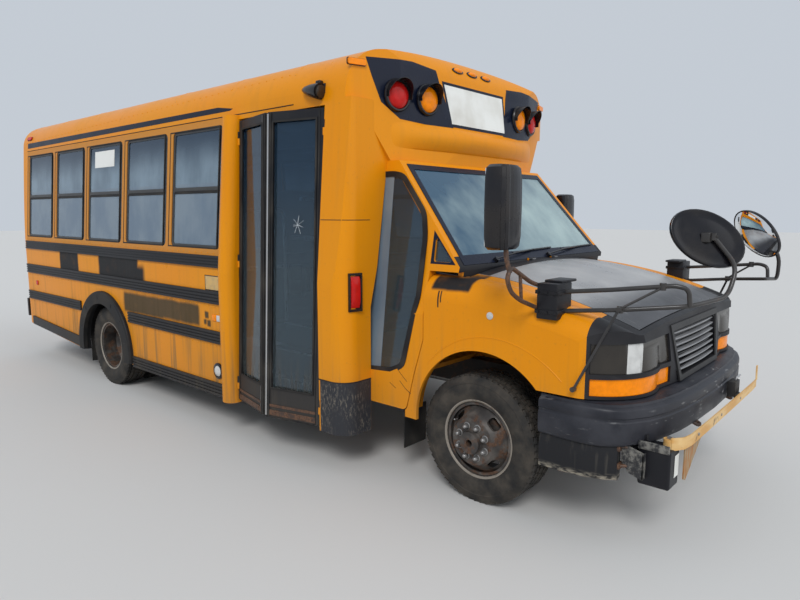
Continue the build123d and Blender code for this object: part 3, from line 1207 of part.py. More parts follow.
def build_mirrors():
    """The curb mirror on its loop, both cross-view mirrors on their arms, and the driver's door mirror."""
    sets = []
    for side in (-1, 1):
        def bar(*points, bend=25):
            return tube(MIRROR_TUBE, *((x, side * y, z) for x, y, z in points), bend=bend)
        low, high = sorted((side * (CAB_HALF - 141), side * (CAB_HALF - 46)))
        seat = largest(block(380, 500, low, high, 1110, 1290) - clip_solid(0))
        lower = bar((470, 905, 1150), (747, 865, 1181), (1038, 800, 1213), (1132, 560, 1240), (1147, 490, 1380),
                    (CROSS_X + 12, CROSS_Y, CROSS_Z + 5))
        upper = bar((470, 905, 1245), (705, 870, 1271), (975, 815, 1305), (1037, 800, 1213))
        sets.append(largest(seat + (lower + upper - clip_solid(0)) + cross_view(side)))
    loop = tube(MIRROR_TUBE, (420, -905, 1245), (365, -1040, 1289), (358, -1230, 1372), (358, -1240, 1280), (358, -1140, 1215),
                (385, -980, 1153), (420, -905, 1150), bend=25)
    wide, deep, tall = MIRROR_SIZE
    head = Pos(MIRROR_X, -MIRROR_Y, MIRROR_Z) * Box(wide, deep, tall)
    stalk = tube(MIRROR_TUBE, (358, -1218, 1355), (MIRROR_X + 10, -MIRROR_Y, MIRROR_Z - tall / 2 + 30))
    sets[0] = largest(sets[0] + (loop - clip_solid(0)) + stalk + fillet(head.edges(), 30))
    keep("mirrors", sets)
    base = DOOR_MIRROR_Z - DOOR_MIRROR_TALL / 2
    shell_box = Pos(DOOR_MIRROR_X, MIRROR_Y, base + DOOR_MIRROR_TALL / 2) * Box(wide, deep, DOOR_MIRROR_TALL)
    arm = tube(16, (-520, CAB_BELT_HALF - 40, 1290), (-545, 1080, 1400), (DOOR_MIRROR_X, MIRROR_Y, 1430),
               (DOOR_MIRROR_X, MIRROR_Y, base + 20), bend=25)
    keep("door_mirror", fillet(shell_box.edges(), 30) + arm - parts["driver_door"] - parts["driver_door_glass"])


def seat_profile(x):
    """One bench seen from the side: cushion, back and pedestal in one outline."""
    z = FLOOR_TOP
    face = outline(
        (x, z), (x + 60, z), (x + 60, z + SEAT_HEIGHT - 140), (x + SEAT_DEPTH, z + SEAT_HEIGHT - 130),
        (x + SEAT_DEPTH, z + SEAT_HEIGHT + 10), (x + 60, z + SEAT_HEIGHT - 20),
        (x - 20, z + SEAT_BACK), (x - 110, z + SEAT_BACK), (x - 30, z + 240),
    )
    return face


def build_inside():
    """Passenger benches, the driver's seat, the instrument panel and the steering wheel."""
    benches = []
    inside = BODY_HALF - BODY_WALL - 40
    for side, count in ((-1, 4), (1, 5)):
        for index in range(count):
            x = SEAT_FIRST + index * WINDOW_PITCH
            y0, y1 = side * (inside - SEAT_WIDTH), side * inside
            benches.append(along_y(seat_profile(x), min(y0, y1), max(y0, y1)))
    keep("passenger_seats", benches)
    z = RAIL_TOP + 36
    face = outline((-1160, z), (-820, z), (-820, z + 250), (-700, z + 260), (-690, z + 400), (-1130, z + 380),
                   (-1190, z + 1000), (-1270, z + 1000), (-1230, z + 250), (-1160, z + 240))
    keep("driver_seat", along_y(face, 310, 815))
    dash = outline((COWL - 330, 1000), (COWL - 92, 960), (COWL - 68, COWL_HEIGHT - 190), (COWL - 62, COWL_HEIGHT - 55),
                   (COWL - 220, COWL_HEIGHT - 40), (COWL - 370, COWL_HEIGHT - 120))
    keep("dashboard", along_y(dash, -CAB_HALF + 132, CAB_HALF - 132))
    centre = Vector(-560, 480, 1240)
    tilt = Plane(origin=centre, z_dir=(-0.8, 0, 0.6))
    ring = tilt * Torus(195, 15)
    wheel = ring + tilt * Cylinder(55, 40)
    for angle in (0, 120, 240):
        wheel += tilt * Rot(0, 0, angle) * (Pos(98, 0, 0) * Box(196, 30, 14))
    column = tilt * (Pos(0, 0, -150) * Cylinder(28, 270))
    keep("steering_wheel", (wheel + column) - parts["dashboard"])


def main():
    build_panels()
    panes = build_windows()
    build_floor()
    build_stepwell()
    build_front_cap()
    build_cab(panes)
    support = build_front_clip()
    build_bumpers()
    build_frame(support)
    build_driveline()
    build_wheels()
    build_axles()
    build_rails_and_guards()
    build_entrance_doors()
    build_rear_door()
    build_hatch()
    build_arms()
    build_mirrors()
    build_inside()
    build_hinges()
    low = min(shape.bounding_box().min.X for shape in parts.values())
    high = max(shape.bounding_box().max.X for shape in parts.values())
    print("centre", (low + high) / 2)
    os.makedirs("parts", exist_ok=True)
    for name, shape in parts.items():
        export_step(Pos(-(low + high) / 2, 0, 0) * shape, f"parts/{name}.step")


main()
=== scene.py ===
import math

import bmesh
import bpy
from mathutils import Matrix, Vector


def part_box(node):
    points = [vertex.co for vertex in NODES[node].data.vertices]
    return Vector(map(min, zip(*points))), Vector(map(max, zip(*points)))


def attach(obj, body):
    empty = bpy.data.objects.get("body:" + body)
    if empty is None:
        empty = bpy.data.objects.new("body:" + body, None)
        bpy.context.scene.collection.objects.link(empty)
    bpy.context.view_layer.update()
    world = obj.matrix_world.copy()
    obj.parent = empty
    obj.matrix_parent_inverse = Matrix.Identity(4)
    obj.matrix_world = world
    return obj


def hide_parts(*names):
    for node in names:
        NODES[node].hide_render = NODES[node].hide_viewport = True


bl_info = {
    "name": "Short school bus",
    "version": (1, 0, 0),
    "blender": (4, 5, 0),
    "location": "View3D > Sidebar > School bus",
    "description": "Paint, glass, tyres, lamps, mirrors, seats and wear of a short school bus",
    "category": "Object",
}

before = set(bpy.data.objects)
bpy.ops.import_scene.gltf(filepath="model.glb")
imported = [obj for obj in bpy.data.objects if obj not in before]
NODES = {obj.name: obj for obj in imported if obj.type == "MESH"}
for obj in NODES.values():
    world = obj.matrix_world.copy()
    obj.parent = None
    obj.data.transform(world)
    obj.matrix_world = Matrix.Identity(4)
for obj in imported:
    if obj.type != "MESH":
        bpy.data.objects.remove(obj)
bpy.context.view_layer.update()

# The vehicle's own axes start at the front axle, on the ground; sizes below are in millimetres from there.
FRONT_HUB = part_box("front_tyre_left")
AXLE_X = (FRONT_HUB[0].x + FRONT_HUB[1].x) / 2
WHEELBASE = 4039
BODY_HALF = 1239
LEAN_START = 1200
LEAN = 0.0787
SIDES = {"left": 1, "right": -1}


def at(x, y, z):
    """A point given in millimetres from the front axle, in metres of the shared frame."""
    return Vector((AXLE_X + x / 1000, y / 1000, z / 1000))


def wall_y(z):
    """Half width of the passenger body at a height, in millimetres."""
    return BODY_HALF - LEAN * max(0, z - LEAN_START)


# Wiring of shaders.
class Wiring:
    """Adds shader nodes to one tree and joins them."""

    def __init__(self, tree):
        self.tree = tree

    def node(self, kind, inputs=None, **settings):
        made = self.tree.nodes.new(kind)
        for key, value in settings.items():
            setattr(made, key, value)
        for key, value in (inputs or {}).items():
            self.put(made.inputs[key], value)
        return made

    def put(self, socket, value):
        if isinstance(value, bpy.types.NodeSocket):
            self.tree.links.new(value, socket)
        elif isinstance(value, (tuple, list)) and socket.type == "RGBA" and len(value) == 3:
            socket.default_value = (*value, 1)
        else:
            socket.default_value = value

    def math(self, operation, first, second=0.0, clamp=False):
        made = self.node("ShaderNodeMath", {0: first, 1: second}, operation=operation, use_clamp=clamp)
        return made.outputs[0]

    def blend(self, factor, first, second):
        made = self.node("ShaderNodeMix", {0: factor, 6: first, 7: second}, data_type="RGBA")
        return made.outputs[2]

    def noise(self, vector, scale, detail=3.0, roughness=0.5):
        made = self.node("ShaderNodeTexNoise",
                         {"Vector": vector, "Scale": scale, "Detail": detail, "Roughness": roughness})
        return made.outputs[0]

    def span(self, value, low, high, start=0.0, end=1.0):
        inputs = {"Value": value, "From Min": low, "From Max": high, "To Min": start, "To Max": end}
        return self.node("ShaderNodeMapRange", inputs, interpolation_type="SMOOTHSTEP").outputs[0]

    def stretch(self, vector, scale, location=(0, 0, 0)):
        return self.node("ShaderNodeMapping", {"Vector": vector, "Scale": scale, "Location": location}).outputs[0]

    def parts(self, vector):
        return self.node("ShaderNodeSeparateXYZ", {0: vector}).outputs

    def position(self):
        return self.node("ShaderNodeTexCoord").outputs["Object"]

    def group(self, name, inputs):
        return self.node("ShaderNodeGroup", inputs, node_tree=effect(name)).outputs


def new_effect(name, inputs, outputs):
    """An empty shader node group with named sockets; returns its wiring, its input sockets and its output node."""
    tree = bpy.data.node_groups.new(name, "ShaderNodeTree")
    kinds = {"vector": "NodeSocketVector", "colour": "NodeSocketColor", "value": "NodeSocketFloat"}
    for label, kind, default in inputs:
        socket = tree.interface.new_socket(label, in_out="INPUT", socket_type=kinds[kind])
        if default is not None:
            socket.default_value = (*default, 1) if kind == "colour" else default
    for label, kind in outputs:
        tree.interface.new_socket(label, in_out="OUTPUT", socket_type=kinds[kind])
    wiring = Wiring(tree)
    source = wiring.node("NodeGroupInput").outputs
    sink = wiring.node("NodeGroupOutput").inputs
    return wiring, source, sink


def aged_paint(name):
    """Sun-faded paint with dusty runs that grow towards the ground."""
    inputs = [("Position", "vector", None), ("Paint", "colour", (0.8, 0.3, 0.01)),
              ("Faded", "colour", (0.8, 0.4, 0.08)), ("Dirt", "colour", (0.16, 0.1, 0.05)),
              ("Fading", "value", 0.5), ("Grime", "value", 0.5)]
    w, source, sink = new_effect(name, inputs, [("Color", "colour"), ("Roughness", "value"), ("Height", "value")])
    place = source["Position"]
    cloud = w.noise(place, 0.9, 5)
    fade = w.math("MULTIPLY", w.span(cloud, 0.35, 0.7), source["Fading"])
    streak = w.span(w.noise(w.stretch(place, (9, 9, 0.45)), 2.2, 5), 0.48, 0.74)
    fine = w.noise(place, 55, 4)
    height = w.parts(place)[2]
    low = w.span(height, 1.15, 0.25)
    runs = w.math("MULTIPLY", streak, w.math("ADD", w.math("MULTIPLY", low, 0.75), 0.12))
    dust = w.math("MULTIPLY", w.math("MULTIPLY", low, low), w.span(cloud, 0.3, 0.7, 0.15, 0.5))
    specks = w.math("MULTIPLY", w.span(fine, 0.62, 0.75), 0.25)
    dirt = w.math("ADD", w.math("ADD", runs, dust), specks)
    dirt = w.math("MULTIPLY", dirt, source["Grime"], clamp=True)
    colour = w.blend(fade, source["Paint"], source["Faded"])
    w.put(sink["Color"], w.blend(dirt, colour, source["Dirt"]))
    rough = w.math("ADD", w.math("MULTIPLY", dirt, 0.4), w.span(cloud, 0.3, 0.7, 0.26, 0.4))
    w.put(sink["Roughness"], rough)
    peel = w.math("MULTIPLY", w.noise(place, 160, 2), 0.35)
    w.put(sink["Height"], w.math("ADD", peel, w.math("MULTIPLY", dirt, 0.6)))
    return w.tree


def rust_bloom(name):
    """Spots and blooms of rust."""
    inputs = [("Position", "vector", None), ("Scale", "value", 6.0), ("Amount", "value", 0.5)]
    w, source, sink = new_effect(name, inputs, [("Mask", "value"), ("Color", "colour"), ("Height", "value")])
    place = source["Position"]
    broad = w.node("ShaderNodeTexNoise",
                   {"Vector": place, "Scale": source["Scale"], "Detail": 6.0, "Roughness": 0.65}).outputs[0]
    edge = w.math("SUBTRACT", 0.78, w.math("MULTIPLY", source["Amount"], 0.5))
    lift = w.math("MULTIPLY", w.math("SUBTRACT", broad, edge), 9.0, clamp=True)
    grain = w.noise(place, 90, 5, 0.7)
    w.put(sink["Mask"], lift)
    deep = w.blend(w.span(grain, 0.35, 0.65), (0.05, 0.024, 0.014), (0.15, 0.07, 0.034))
    w.put(sink["Color"], w.blend(w.span(broad, 0.5, 0.8), deep, (0.09, 0.055, 0.036)))
    w.put(sink["Height"], w.math("MULTIPLY", grain, lift))
    return w.tree


def soft_patch(name):
    """A rounded patch of sprayed or rubbed paint with a ragged soft edge."""
    inputs = [("Along", "value", 0.0), ("Up", "value", 0.0), ("Centre Along", "value", 0.0),
              ("Centre Up", "value", 0.0), ("Half Along", "value", 0.5), ("Half Up", "value", 0.1),
              ("Soft", "value", 0.03), ("Ragged", "value", 0.03), ("Position", "vector", None)]
    w, source, sink = new_effect(name, inputs, [("Mask", "value")])
    reach = []
    for axis in ("Along", "Up"):
        off = w.math("ABSOLUTE", w.math("SUBTRACT", source[axis], source["Centre " + axis]))
        reach.append(w.math("MAXIMUM", w.math("SUBTRACT", off, source["Half " + axis]), 0.0))
    square = w.math("ADD", w.math("MULTIPLY", reach[0], reach[0]), w.math("MULTIPLY", reach[1], reach[1]))
    wobble = w.math("MULTIPLY", w.math("SUBTRACT", w.noise(source["Position"], 9, 4, 0.6), 0.5), source["Ragged"])
    gap = w.math("ADD", w.math("SQRT", square), w.math("MULTIPLY", wobble, 2.0))
    share = w.math("DIVIDE", gap, source["Soft"])
    w.put(sink["Mask"], w.span(share, 1.0, 0.0))
    return w.tree


EFFECTS = {"aged_paint": aged_paint, "rust_bloom": rust_bloom, "soft_patch": soft_patch}


def effect(name):
    """The named node group, built once."""
    return bpy.data.node_groups.get(name) or EFFECTS[name](name)


def surface(name, recipe):
    """A material built once by a recipe, which gets the wiring and the Principled node."""
    found = bpy.data.materials.get(name)
    if found:
        return found
    made = bpy.data.materials.new(name)
    made.use_nodes = True
    made.node_tree.nodes.clear()
    wiring = Wiring(made.node_tree)
    shader = wiring.node("ShaderNodeBsdfPrincipled")
    sink = wiring.node("ShaderNodeOutputMaterial")
    made.node_tree.links.new(shader.outputs[0], sink.inputs[0])
    recipe(wiring, shader, wiring.position())
    return made


def fill(wiring, shader, colour, roughness=0.5, height=None, strength=0.2, distance=0.002, **others):
    """Feeds the main sockets of a Principled node."""
    wiring.put(shader.inputs["Base Color"], colour)
    wiring.put(shader.inputs["Roughness"], roughness)
    for key, value in others.items():
        wiring.put(shader.inputs[key.replace("_", " ")], value)
    if height is not None:
        bump = wiring.node("ShaderNodeBump", {"Height": height, "Strength": strength, "Distance": distance})
        wiring.put(shader.inputs["Normal"], bump.outputs[0])


def colours():
    """The colours that the panel shows."""
    return bpy.context.scene.bus_colours


def patch_mask(w, place, along, up, centre, half, soft=0.03, ragged=0.03):
    """A soft patch in two of the position's coordinates, given in metres."""
    inputs = {"Along": along, "Up": up, "Centre Along": centre[0], "Centre Up": centre[1], "Half Along": half[0],
              "Half Up": half[1], "Soft": soft, "Ragged": ragged, "Position": place}
    return w.group("soft_patch", inputs)[0]


def inner_face(w, coordinates):
    """A mask over the walls' inner faces and the ceiling, which carry grey trim, darkened as painted shade of the
    inside.
    """
    normal = w.parts(w.node("ShaderNodeTexCoord").outputs["Normal"])
    side = w.span(coordinates[1], -0.05, 0.05, -1, 1)
    inward = w.span(w.math("MULTIPLY", normal[1], side), -0.3, -0.5)
    ceiling = w.math("MULTIPLY", w.span(normal[2], -0.5, -0.7), w.span(coordinates[2], 2.38, 2.42))
    return w.math("MAXIMUM", w.math("MULTIPLY", inward, w.span(w.math("ABSOLUTE", coordinates[1]), 0.4, 0.6)),
                  ceiling)


# The rear arch: its centre's height in millimetres, and the soft edge of its lining, in metres from that centre.
ARCH_Z = 355
ARCH_EDGE = (0.446, 0.442)


def arch_inside(w, coordinates):
    """A mask over the edges and linings of the rear wheel arches."""
    axle = at(-WHEELBASE, 0, ARCH_Z)
    ahead = w.math("SUBTRACT", coordinates[0], axle.x)
    above = w.math("MAXIMUM", w.math("SUBTRACT", coordinates[2], axle.z), 0.0)
    reach = w.math("SQRT", w.math("ADD", w.math("MULTIPLY", ahead, ahead), w.math("MULTIPLY", above, above)))
    return w.span(reach, *ARCH_EDGE)


def yellow_recipe(w, shader, place, fading=0.55, grime=0.6, patches=()):
    """School bus yellow, with layers of patches laid over it: each a tone, its opacity and its places."""
    inputs = {"Position": place, "Paint": tuple(colours().yellow), "Faded": tuple(colours().faded_yellow),
              "Dirt": tuple(colours().dust), "Fading": fading, "Grime": grime}
    aged = w.group("aged_paint", inputs)
    colour, rough = aged["Color"], aged["Roughness"]
    coordinates = w.parts(place)
    along, up = coordinates[0], coordinates[2]
    curb = w.span(coordinates[1], 0.05, -0.05)
    for tone, opacity, items in patches:
        mask = 0.0
        for centre, half, soft, ragged in items:
            middle = at(centre[0], 0, centre[1])
            one = patch_mask(w, place, along, up, (middle.x, middle.z), (half[0] / 1000, half[1] / 1000), soft,
                             ragged)
            mask = w.math("MAXIMUM", one, mask)
        mask = w.math("MULTIPLY", w.math("MULTIPLY", mask, curb), opacity)
        colour = w.blend(mask, colour, tone)
        rough = w.math("ADD", rough, w.math("MULTIPLY", mask, 0.25))
    # Inner walls and ceiling: grey trim, darkened as painted shade of the inside.
    colour = w.blend(inner_face(w, coordinates), colour, INNER_GREY)
    colour = w.blend(arch_inside(w, coordinates), colour, BLACK_SPRAY)
    fill(w, shader, colour, rough, aged["Height"], 0.12, 0.001, Coat_Weight=0.04, Coat_Roughness=0.15,
         Specular_IOR_Level=0.16)


def body_yellow(w, shader, place):
    """The paint of the body, without patches."""
    yellow_recipe(w, shader, place)


BLACK_SPRAY = (0.018, 0.018, 0.019)
BROWN_SPRAY = (0.062, 0.048, 0.026)
# Grey of the inside trim, kept dark as painted shade of the inside.
INNER_GREY = (0.16, 0.16, 0.155)
POST_TAN = (0.42, 0.20, 0.055)

# Sprayed patches as centre (along, up), half size, softness and raggedness: millimetres, then metres.
WINDOW_POSTS = [((-3980, 1812), (2000, 470), 0.05, 0.02)]
BLACK_PATCHES = [((-4790, 1144), (215, 84), 0.03, 0.012), ((-3705, 1144), (365, 84), 0.05, 0.012),
                 ((-3330, 1104), (80, 40), 0.07, 0.012)]
BROWN_PATCHES = [((-3260, 846), (330, 66), 0.045, 0.014), ((-2740, 852), (350, 62), 0.045, 0.014),
                 ((-2262, 868), (16, 16), 0.02, 0.01), ((-2236, 806), (14, 14), 0.02, 0.01),
                 ((-2286, 812), (10, 10), 0.02, 0.01)]
FENDER_PATCHES = [((-172, 1240), (118, 26), 0.022, 0.008), ((-240, 1150), (3, 45), 0.004, 0.002),
                  ((-222, 1165), (2, 30), 0.004, 0.002)]


def curb_side_yellow(w, shader, place):
    """The right side, with lettering sprayed over in black and brown."""
    layers = [(POST_TAN, 0.6, WINDOW_POSTS), (BLACK_SPRAY, 1.0, BLACK_PATCHES), (BROWN_SPRAY, 0.96, BROWN_PATCHES)]
    yellow_recipe(w, shader, place, grime=0.8, patches=layers)


def fender_yellow(w, shader, place):
    """The cab's paint, with black marks on its fender."""
    yellow_recipe(w, shader, place, patches=[(BLACK_SPRAY, 1.0, FENDER_PATCHES)])


def hood_black(w, shader, place):
    """The hood's black paint, chalked by the sun; its pale greys are partly a painted sheen, which gives way to dark
    towards the nose.
    """
    cloud = w.noise(place, 2.2, 6, 0.6)
    chalk_and_sheen = w.span(cloud, 0.35, 0.7)
    # Both greys stand for chalked paint and also for a painted sheen.
    colour = w.blend(chalk_and_sheen, (0.25, 0.25, 0.255), (0.42, 0.42, 0.415))
    # Painted shade: towards the nose the painted sheen ends and the hood goes dark.
    front = w.span(w.parts(place)[0], at(430, 0, 0).x, at(700, 0, 0).x)
    colour = w.blend(front, colour, (0.028, 0.028, 0.033))
    scuffs = w.span(w.noise(w.stretch(place, (3, 14, 3)), 3, 5), 0.6, 0.75)
    colour = w.blend(w.math("MULTIPLY", scuffs, 0.4), colour, (0.3, 0.29, 0.27))
    fill(w, shader, colour, w.span(cloud, 0.3, 0.7, 0.24, 0.42), w.noise(place, 120, 3), 0.1, 0.001)


def mirror_glass(w, shader, place):
    """Silvered glass with a little dust."""
    dust = w.span(w.noise(place, 14, 5), 0.45, 0.8)
    fill(w, shader, w.blend(dust, (0.82, 0.84, 0.86), (0.6, 0.58, 0.54)), w.span(dust, 0, 1, 0.03, 0.14),
         Metallic=1.0)


def tint_glass(shader, transmission, ior=1.5):
    """Glass that lets light through and reflects a little blue."""
    shader.inputs["Transmission Weight"].default_value = transmission
    shader.inputs["IOR"].default_value = ior
    shader.inputs["Specular Tint"].default_value = (0.55, 0.75, 1.0, 1)


def screen_glass(w, shader, place):
    """The windshield: dusty glass whose pale colour is a painted sky reflection, darker at the curb side's top."""
    parts = w.parts(place)
    film = w.noise(w.stretch(place, (2, 2, 1)), 3, 5)
    # Painted reflection: paler towards the left side and the foot, with the dusty film's noise mixed in.
    sky_reflection_and_film = w.math("ADD", w.span(parts[1], -0.75, 0.5, 0.15, 0.85),
                  w.math("MULTIPLY", w.math("SUBTRACT", film, 0.5), 0.9))
    sky_reflection_and_film = w.math("SUBTRACT", sky_reflection_and_film, w.span(parts[2], 1.6, 1.95, 0, 0.35), clamp=True)
    fill(w, shader, w.blend(sky_reflection_and_film, (0.04, 0.11, 0.18), (0.50, 0.64, 0.62)), w.span(film, 0.4, 0.75, 0.03, 0.12))
    tint_glass(shader, 0.3, 1.6)


def window_glass(w, shader, place):
    """Side windows: a pale sky-blue tone, partly dusty film and partly a painted sky reflection with streaks, darker
    towards the top of the upper sashes.
    """
    up = w.parts(place)[2]
    film = w.noise(w.stretch(place, (1.6, 1.6, 1)), 2.2, 5)
    runs = w.noise(w.stretch(place, (14, 14, 0.8)), 3, 5)
    cloud = w.span(w.math("ADD", w.math("MULTIPLY", film, 0.9), w.math("MULTIPLY", runs, 0.1)), 0.34, 0.66)
    # Painted reflection: the upper sashes go from dark at the top to pale sky blue lower down, streaked by the
    # stretched noise.
    deep = w.math("MULTIPLY", w.math("ADD", w.math("MULTIPLY", cloud, 0.4), 0.6), w.span(up, 2.22, 1.92, 0.06, 1))
    upper = w.blend(deep, (0.02, 0.045, 0.085), (0.30, 0.40, 0.48))
    # The lower sashes' pale blue-grey is partly dust and partly painted reflection.
    lower = w.blend(cloud, (0.20, 0.27, 0.35), (0.29, 0.36, 0.42))
    fill(w, shader, w.blend(w.span(up, 1.84, 1.86), lower, upper), w.span(film, 0.4, 0.75, 0.03, 0.14))
    tint_glass(shader, 0.38)


def door_glass(w, shader, place):
    """Door panes: dark glass, dusty towards the foot."""
    up = w.parts(place)[2]
    runs = w.noise(w.stretch(place, (12, 12, 0.9)), 3, 5)
    dust = w.math("MULTIPLY", w.span(up, 0.95, 0.45), w.span(runs, 0.35, 0.7))
    clear = w.blend(w.span(up, 1.2, 2.1), (0.30, 0.38, 0.42), (0.10, 0.20, 0.32))
    fill(w, shader, w.blend(dust, clear, (0.42, 0.40, 0.34)), w.span(dust, 0, 1, 0.02, 0.3))
    tint_glass(shader, 0.9)


def guard_grey(w, shader, place):
    """Scuffed dark guard at the foot of the door post."""
    specks = w.span(w.noise(w.stretch(place, (3, 3, 1)), 34, 6, 0.7), 0.5, 0.62)
    broad = w.span(w.noise(place, 5, 4), 0.35, 0.65)
    colour = w.blend(w.math("MULTIPLY", specks, broad), (0.028, 0.029, 0.034), (0.16, 0.14, 0.115))
    fill(w, shader, colour, 0.6, specks, 0.3, 0.001, Specular_IOR_Level=0.3)


def rim_edge(w, shader, place):
    """The wheel's outer lip: old pale paint, half rusted through; the pale tone also stands for a painted highlight
    on the lip.
    """
    rust = w.group("rust_bloom", {"Position": place, "Scale": 14.0, "Amount": 0.45})
    # Painted highlight: the pale paint also lights the lip.
    colour = w.blend(rust["Mask"], (0.27, 0.235, 0.195), (0.10, 0.066, 0.042))
    fill(w, shader, colour, 0.5, rust["Height"], 0.3, 0.001, Metallic=0.2)


def dusty_black(w, shader, place):
    """Black steel under pale road dust."""
    cloud = w.span(w.noise(place, 20, 6, 0.7), 0.42, 0.6)
    fill(w, shader, w.blend(cloud, (0.02, 0.02, 0.022), (0.19, 0.18, 0.16)), 0.7, cloud, 0.3, 0.001)


def rusty_tan(w, shader, place):
    """Steel plate with old tan paint and streaks of rust."""
    runs = w.span(w.noise(w.stretch(place, (14, 14, 2)), 4, 5, 0.6), 0.42, 0.62)
    fill(w, shader, w.blend(runs, (0.34, 0.26, 0.16), (0.36, 0.15, 0.035)), 0.7, runs, 0.3, 0.001)


def bumper_plastic(w, shader, place):
    """Bumper plastic, greyed in clouds and scuffed pale at the corners."""
    parts = w.parts(place)
    cloud = w.noise(place, 4, 5, 0.6)
    colour = w.blend(w.span(cloud, 0.35, 0.72), (0.011, 0.012, 0.018), (0.035, 0.036, 0.044))
    scuff = w.span(w.noise(w.stretch(place, (1, 1, 4)), 9, 6, 0.65), 0.6, 0.68)
    corner = w.math("MULTIPLY", w.span(w.math("ABSOLUTE", parts[1]), 0.05, 0.3, 1, 0.25),
                    w.span(parts[0], 3.38, 3.46))
    colour = w.blend(w.math("MULTIPLY", scuff, w.math("ADD", w.math("MULTIPLY", corner, 0.7), 0.12)), colour,
                     (0.42, 0.42, 0.41))
    fill(w, shader, colour, w.span(cloud, 0.3, 0.7, 0.36, 0.55), w.noise(place, 340, 2), 0.22, 0.0006,
         Specular_IOR_Level=0.35)


def valance_plastic(w, shader, place):
    """Black apron with pale road dirt along its lower edge."""
    low = w.span(w.parts(place)[2], 0.392, 0.36)
    cloud = w.span(w.noise(w.stretch(place, (1, 1, 3)), 26, 5, 0.6), 0.38, 0.62)
    streak = w.span(w.noise(w.stretch(place, (16, 16, 1)), 3, 4), 0.5, 0.75)
    colour = w.blend(w.math("MULTIPLY", streak, 0.35), (0.011, 0.011, 0.013), (0.09, 0.08, 0.065))
    colour = w.blend(w.math("MULTIPLY", low, cloud), colour, (0.26, 0.23, 0.18))
    fill(w, shader, colour, 0.6, w.noise(place, 200, 3), 0.25, 0.001, Specular_IOR_Level=0.3)


def arm_tan(w, shader, place):
    """Sun-bleached yellow strap, dirty and rubbed."""
    cloud = w.span(w.noise(w.stretch(place, (4, 1, 4)), 5, 5), 0.35, 0.7)
    rust = w.group("rust_bloom", {"Position": place, "Scale": 10.0, "Amount": 0.28})
    colour = w.blend(cloud, (0.62, 0.33, 0.09), (0.74, 0.50, 0.22))
    fill(w, shader, w.blend(rust["Mask"], colour, rust["Color"]), 0.5, rust["Height"], 0.2, 0.001)


def worn_black(w, shader, place):
    """Black paint with road dust and rust at its chips."""
    rust = w.group("rust_bloom", {"Position": place, "Scale": 7.0, "Amount": 0.18})
    inputs = {"Position": place, "Paint": (0.010, 0.010, 0.013), "Faded": (0.028, 0.028, 0.03),
              "Dirt": (0.09, 0.075, 0.055), "Fading": 0.7, "Grime": 0.5}
    aged = w.group("aged_paint", inputs)
    colour = w.blend(rust["Mask"], aged["Color"], rust["Color"])
    fill(w, shader, colour, w.math("ADD", aged["Roughness"], 0.1), aged["Height"], 0.2, 0.001,
         Specular_IOR_Level=0.24)


def clear_glass(w, shader, place):
    """Dusty window glass with a grey tint."""
    film = w.noise(w.stretch(place, (4, 4, 1.2)), 2.5, 5)
    fill(w, shader, w.blend(w.span(film, 0.35, 0.75), (0.26, 0.35, 0.42), (0.36, 0.43, 0.47)),
         w.span(film, 0.4, 0.75, 0.02, 0.1))
    tint_glass(shader, 0.9)


def vinyl(w, shader, place):
    """Grained seat vinyl, its dark blue partly painted shade of the inside."""
    cells = w.node("ShaderNodeTexVoronoi", {"Vector": place, "Scale": 320.0}).outputs["Distance"]
    cloud = w.noise(place, 6, 4)
    # Both blues are kept dark, partly as painted shade of the inside.
    colour = w.blend(w.span(cloud, 0.3, 0.7), (0.035, 0.05, 0.075), (0.06, 0.08, 0.11))
    fill(w, shader, colour, w.span(cloud, 0.3, 0.7, 0.38, 0.52), cells, 0.3, 0.0006)


def floor_rubber(w, shader, place):
    """Worn floor rubber with ribs along the aisle."""
    along = w.parts(place)[1]
    ribs = w.math("SINE", w.math("MULTIPLY", along, 420.0))
    cloud = w.noise(place, 4, 5)
    colour = w.blend(w.span(cloud, 0.35, 0.7), (0.03, 0.03, 0.03), (0.12, 0.1, 0.08))
    fill(w, shader, colour, 0.75, ribs, 0.3, 0.001)


def tinted_lens(colour):
    """A recipe for a moulded lens with fine ribs."""
    def recipe(w, shader, place):
        cloud = w.noise(place, 30, 3)
        cells = w.node("ShaderNodeTexVoronoi", {"Vector": place, "Scale": 160.0}).outputs["Distance"]
        tone = tuple(0.86 * c for c in colour)
        fill(w, shader, w.blend(w.span(cloud, 0.35, 0.7), colour, tone), 0.16, cells, 0.3, 0.0006,
             Specular_IOR_Level=0.22)
    return recipe


def mottled(dark, pale, cloud, spread=None, rough=0.5, grain=None, relief=(0.2, 0.001), stretch=None, **sockets):
    """A recipe of two tones in clouds under a fine grain.

    cloud and grain hold a noise's scale, detail and roughness; spread sharpens the clouds; rough is one value, or two
    that the clouds run between; relief is the grain's strength and depth."""
    def recipe(w, shader, place):
        field = w.noise(w.stretch(place, stretch) if stretch else place, *cloud)
        tone = w.span(field, *spread) if spread else field
        gloss = w.span(field, 0.3, 0.7, *rough) if isinstance(rough, tuple) else rough
        height = w.noise(place, *grain) if grain else None
        fill(w, shader, w.blend(tone, dark, pale), gloss, height, *relief, **sockets)
    return recipe


def rusted(scale, amount, paint, rough, relief, **sockets):
    """A recipe of steel or paint under blooms of rust.

    paint is one tone, or two tones with a noise and its spread; rough is one value, or the paint's and the rust's."""
    def recipe(w, shader, place):
        rust = w.group("rust_bloom", {"Position": place, "Scale": scale, "Amount": amount})
        tone = paint
        if isinstance(paint[0], tuple):
            first, second, cloud, spread = paint
            field = w.noise(place, *cloud)
            tone = w.blend(w.span(field, *spread) if spread else field, first, second)
        gloss = w.span(rust["Mask"], 0, 1, *rough) if isinstance(rough, tuple) else rough
        fill(w, shader, w.blend(rust["Mask"], tone, rust["Color"]), gloss, rust["Height"], *relief, **sockets)
    return recipe


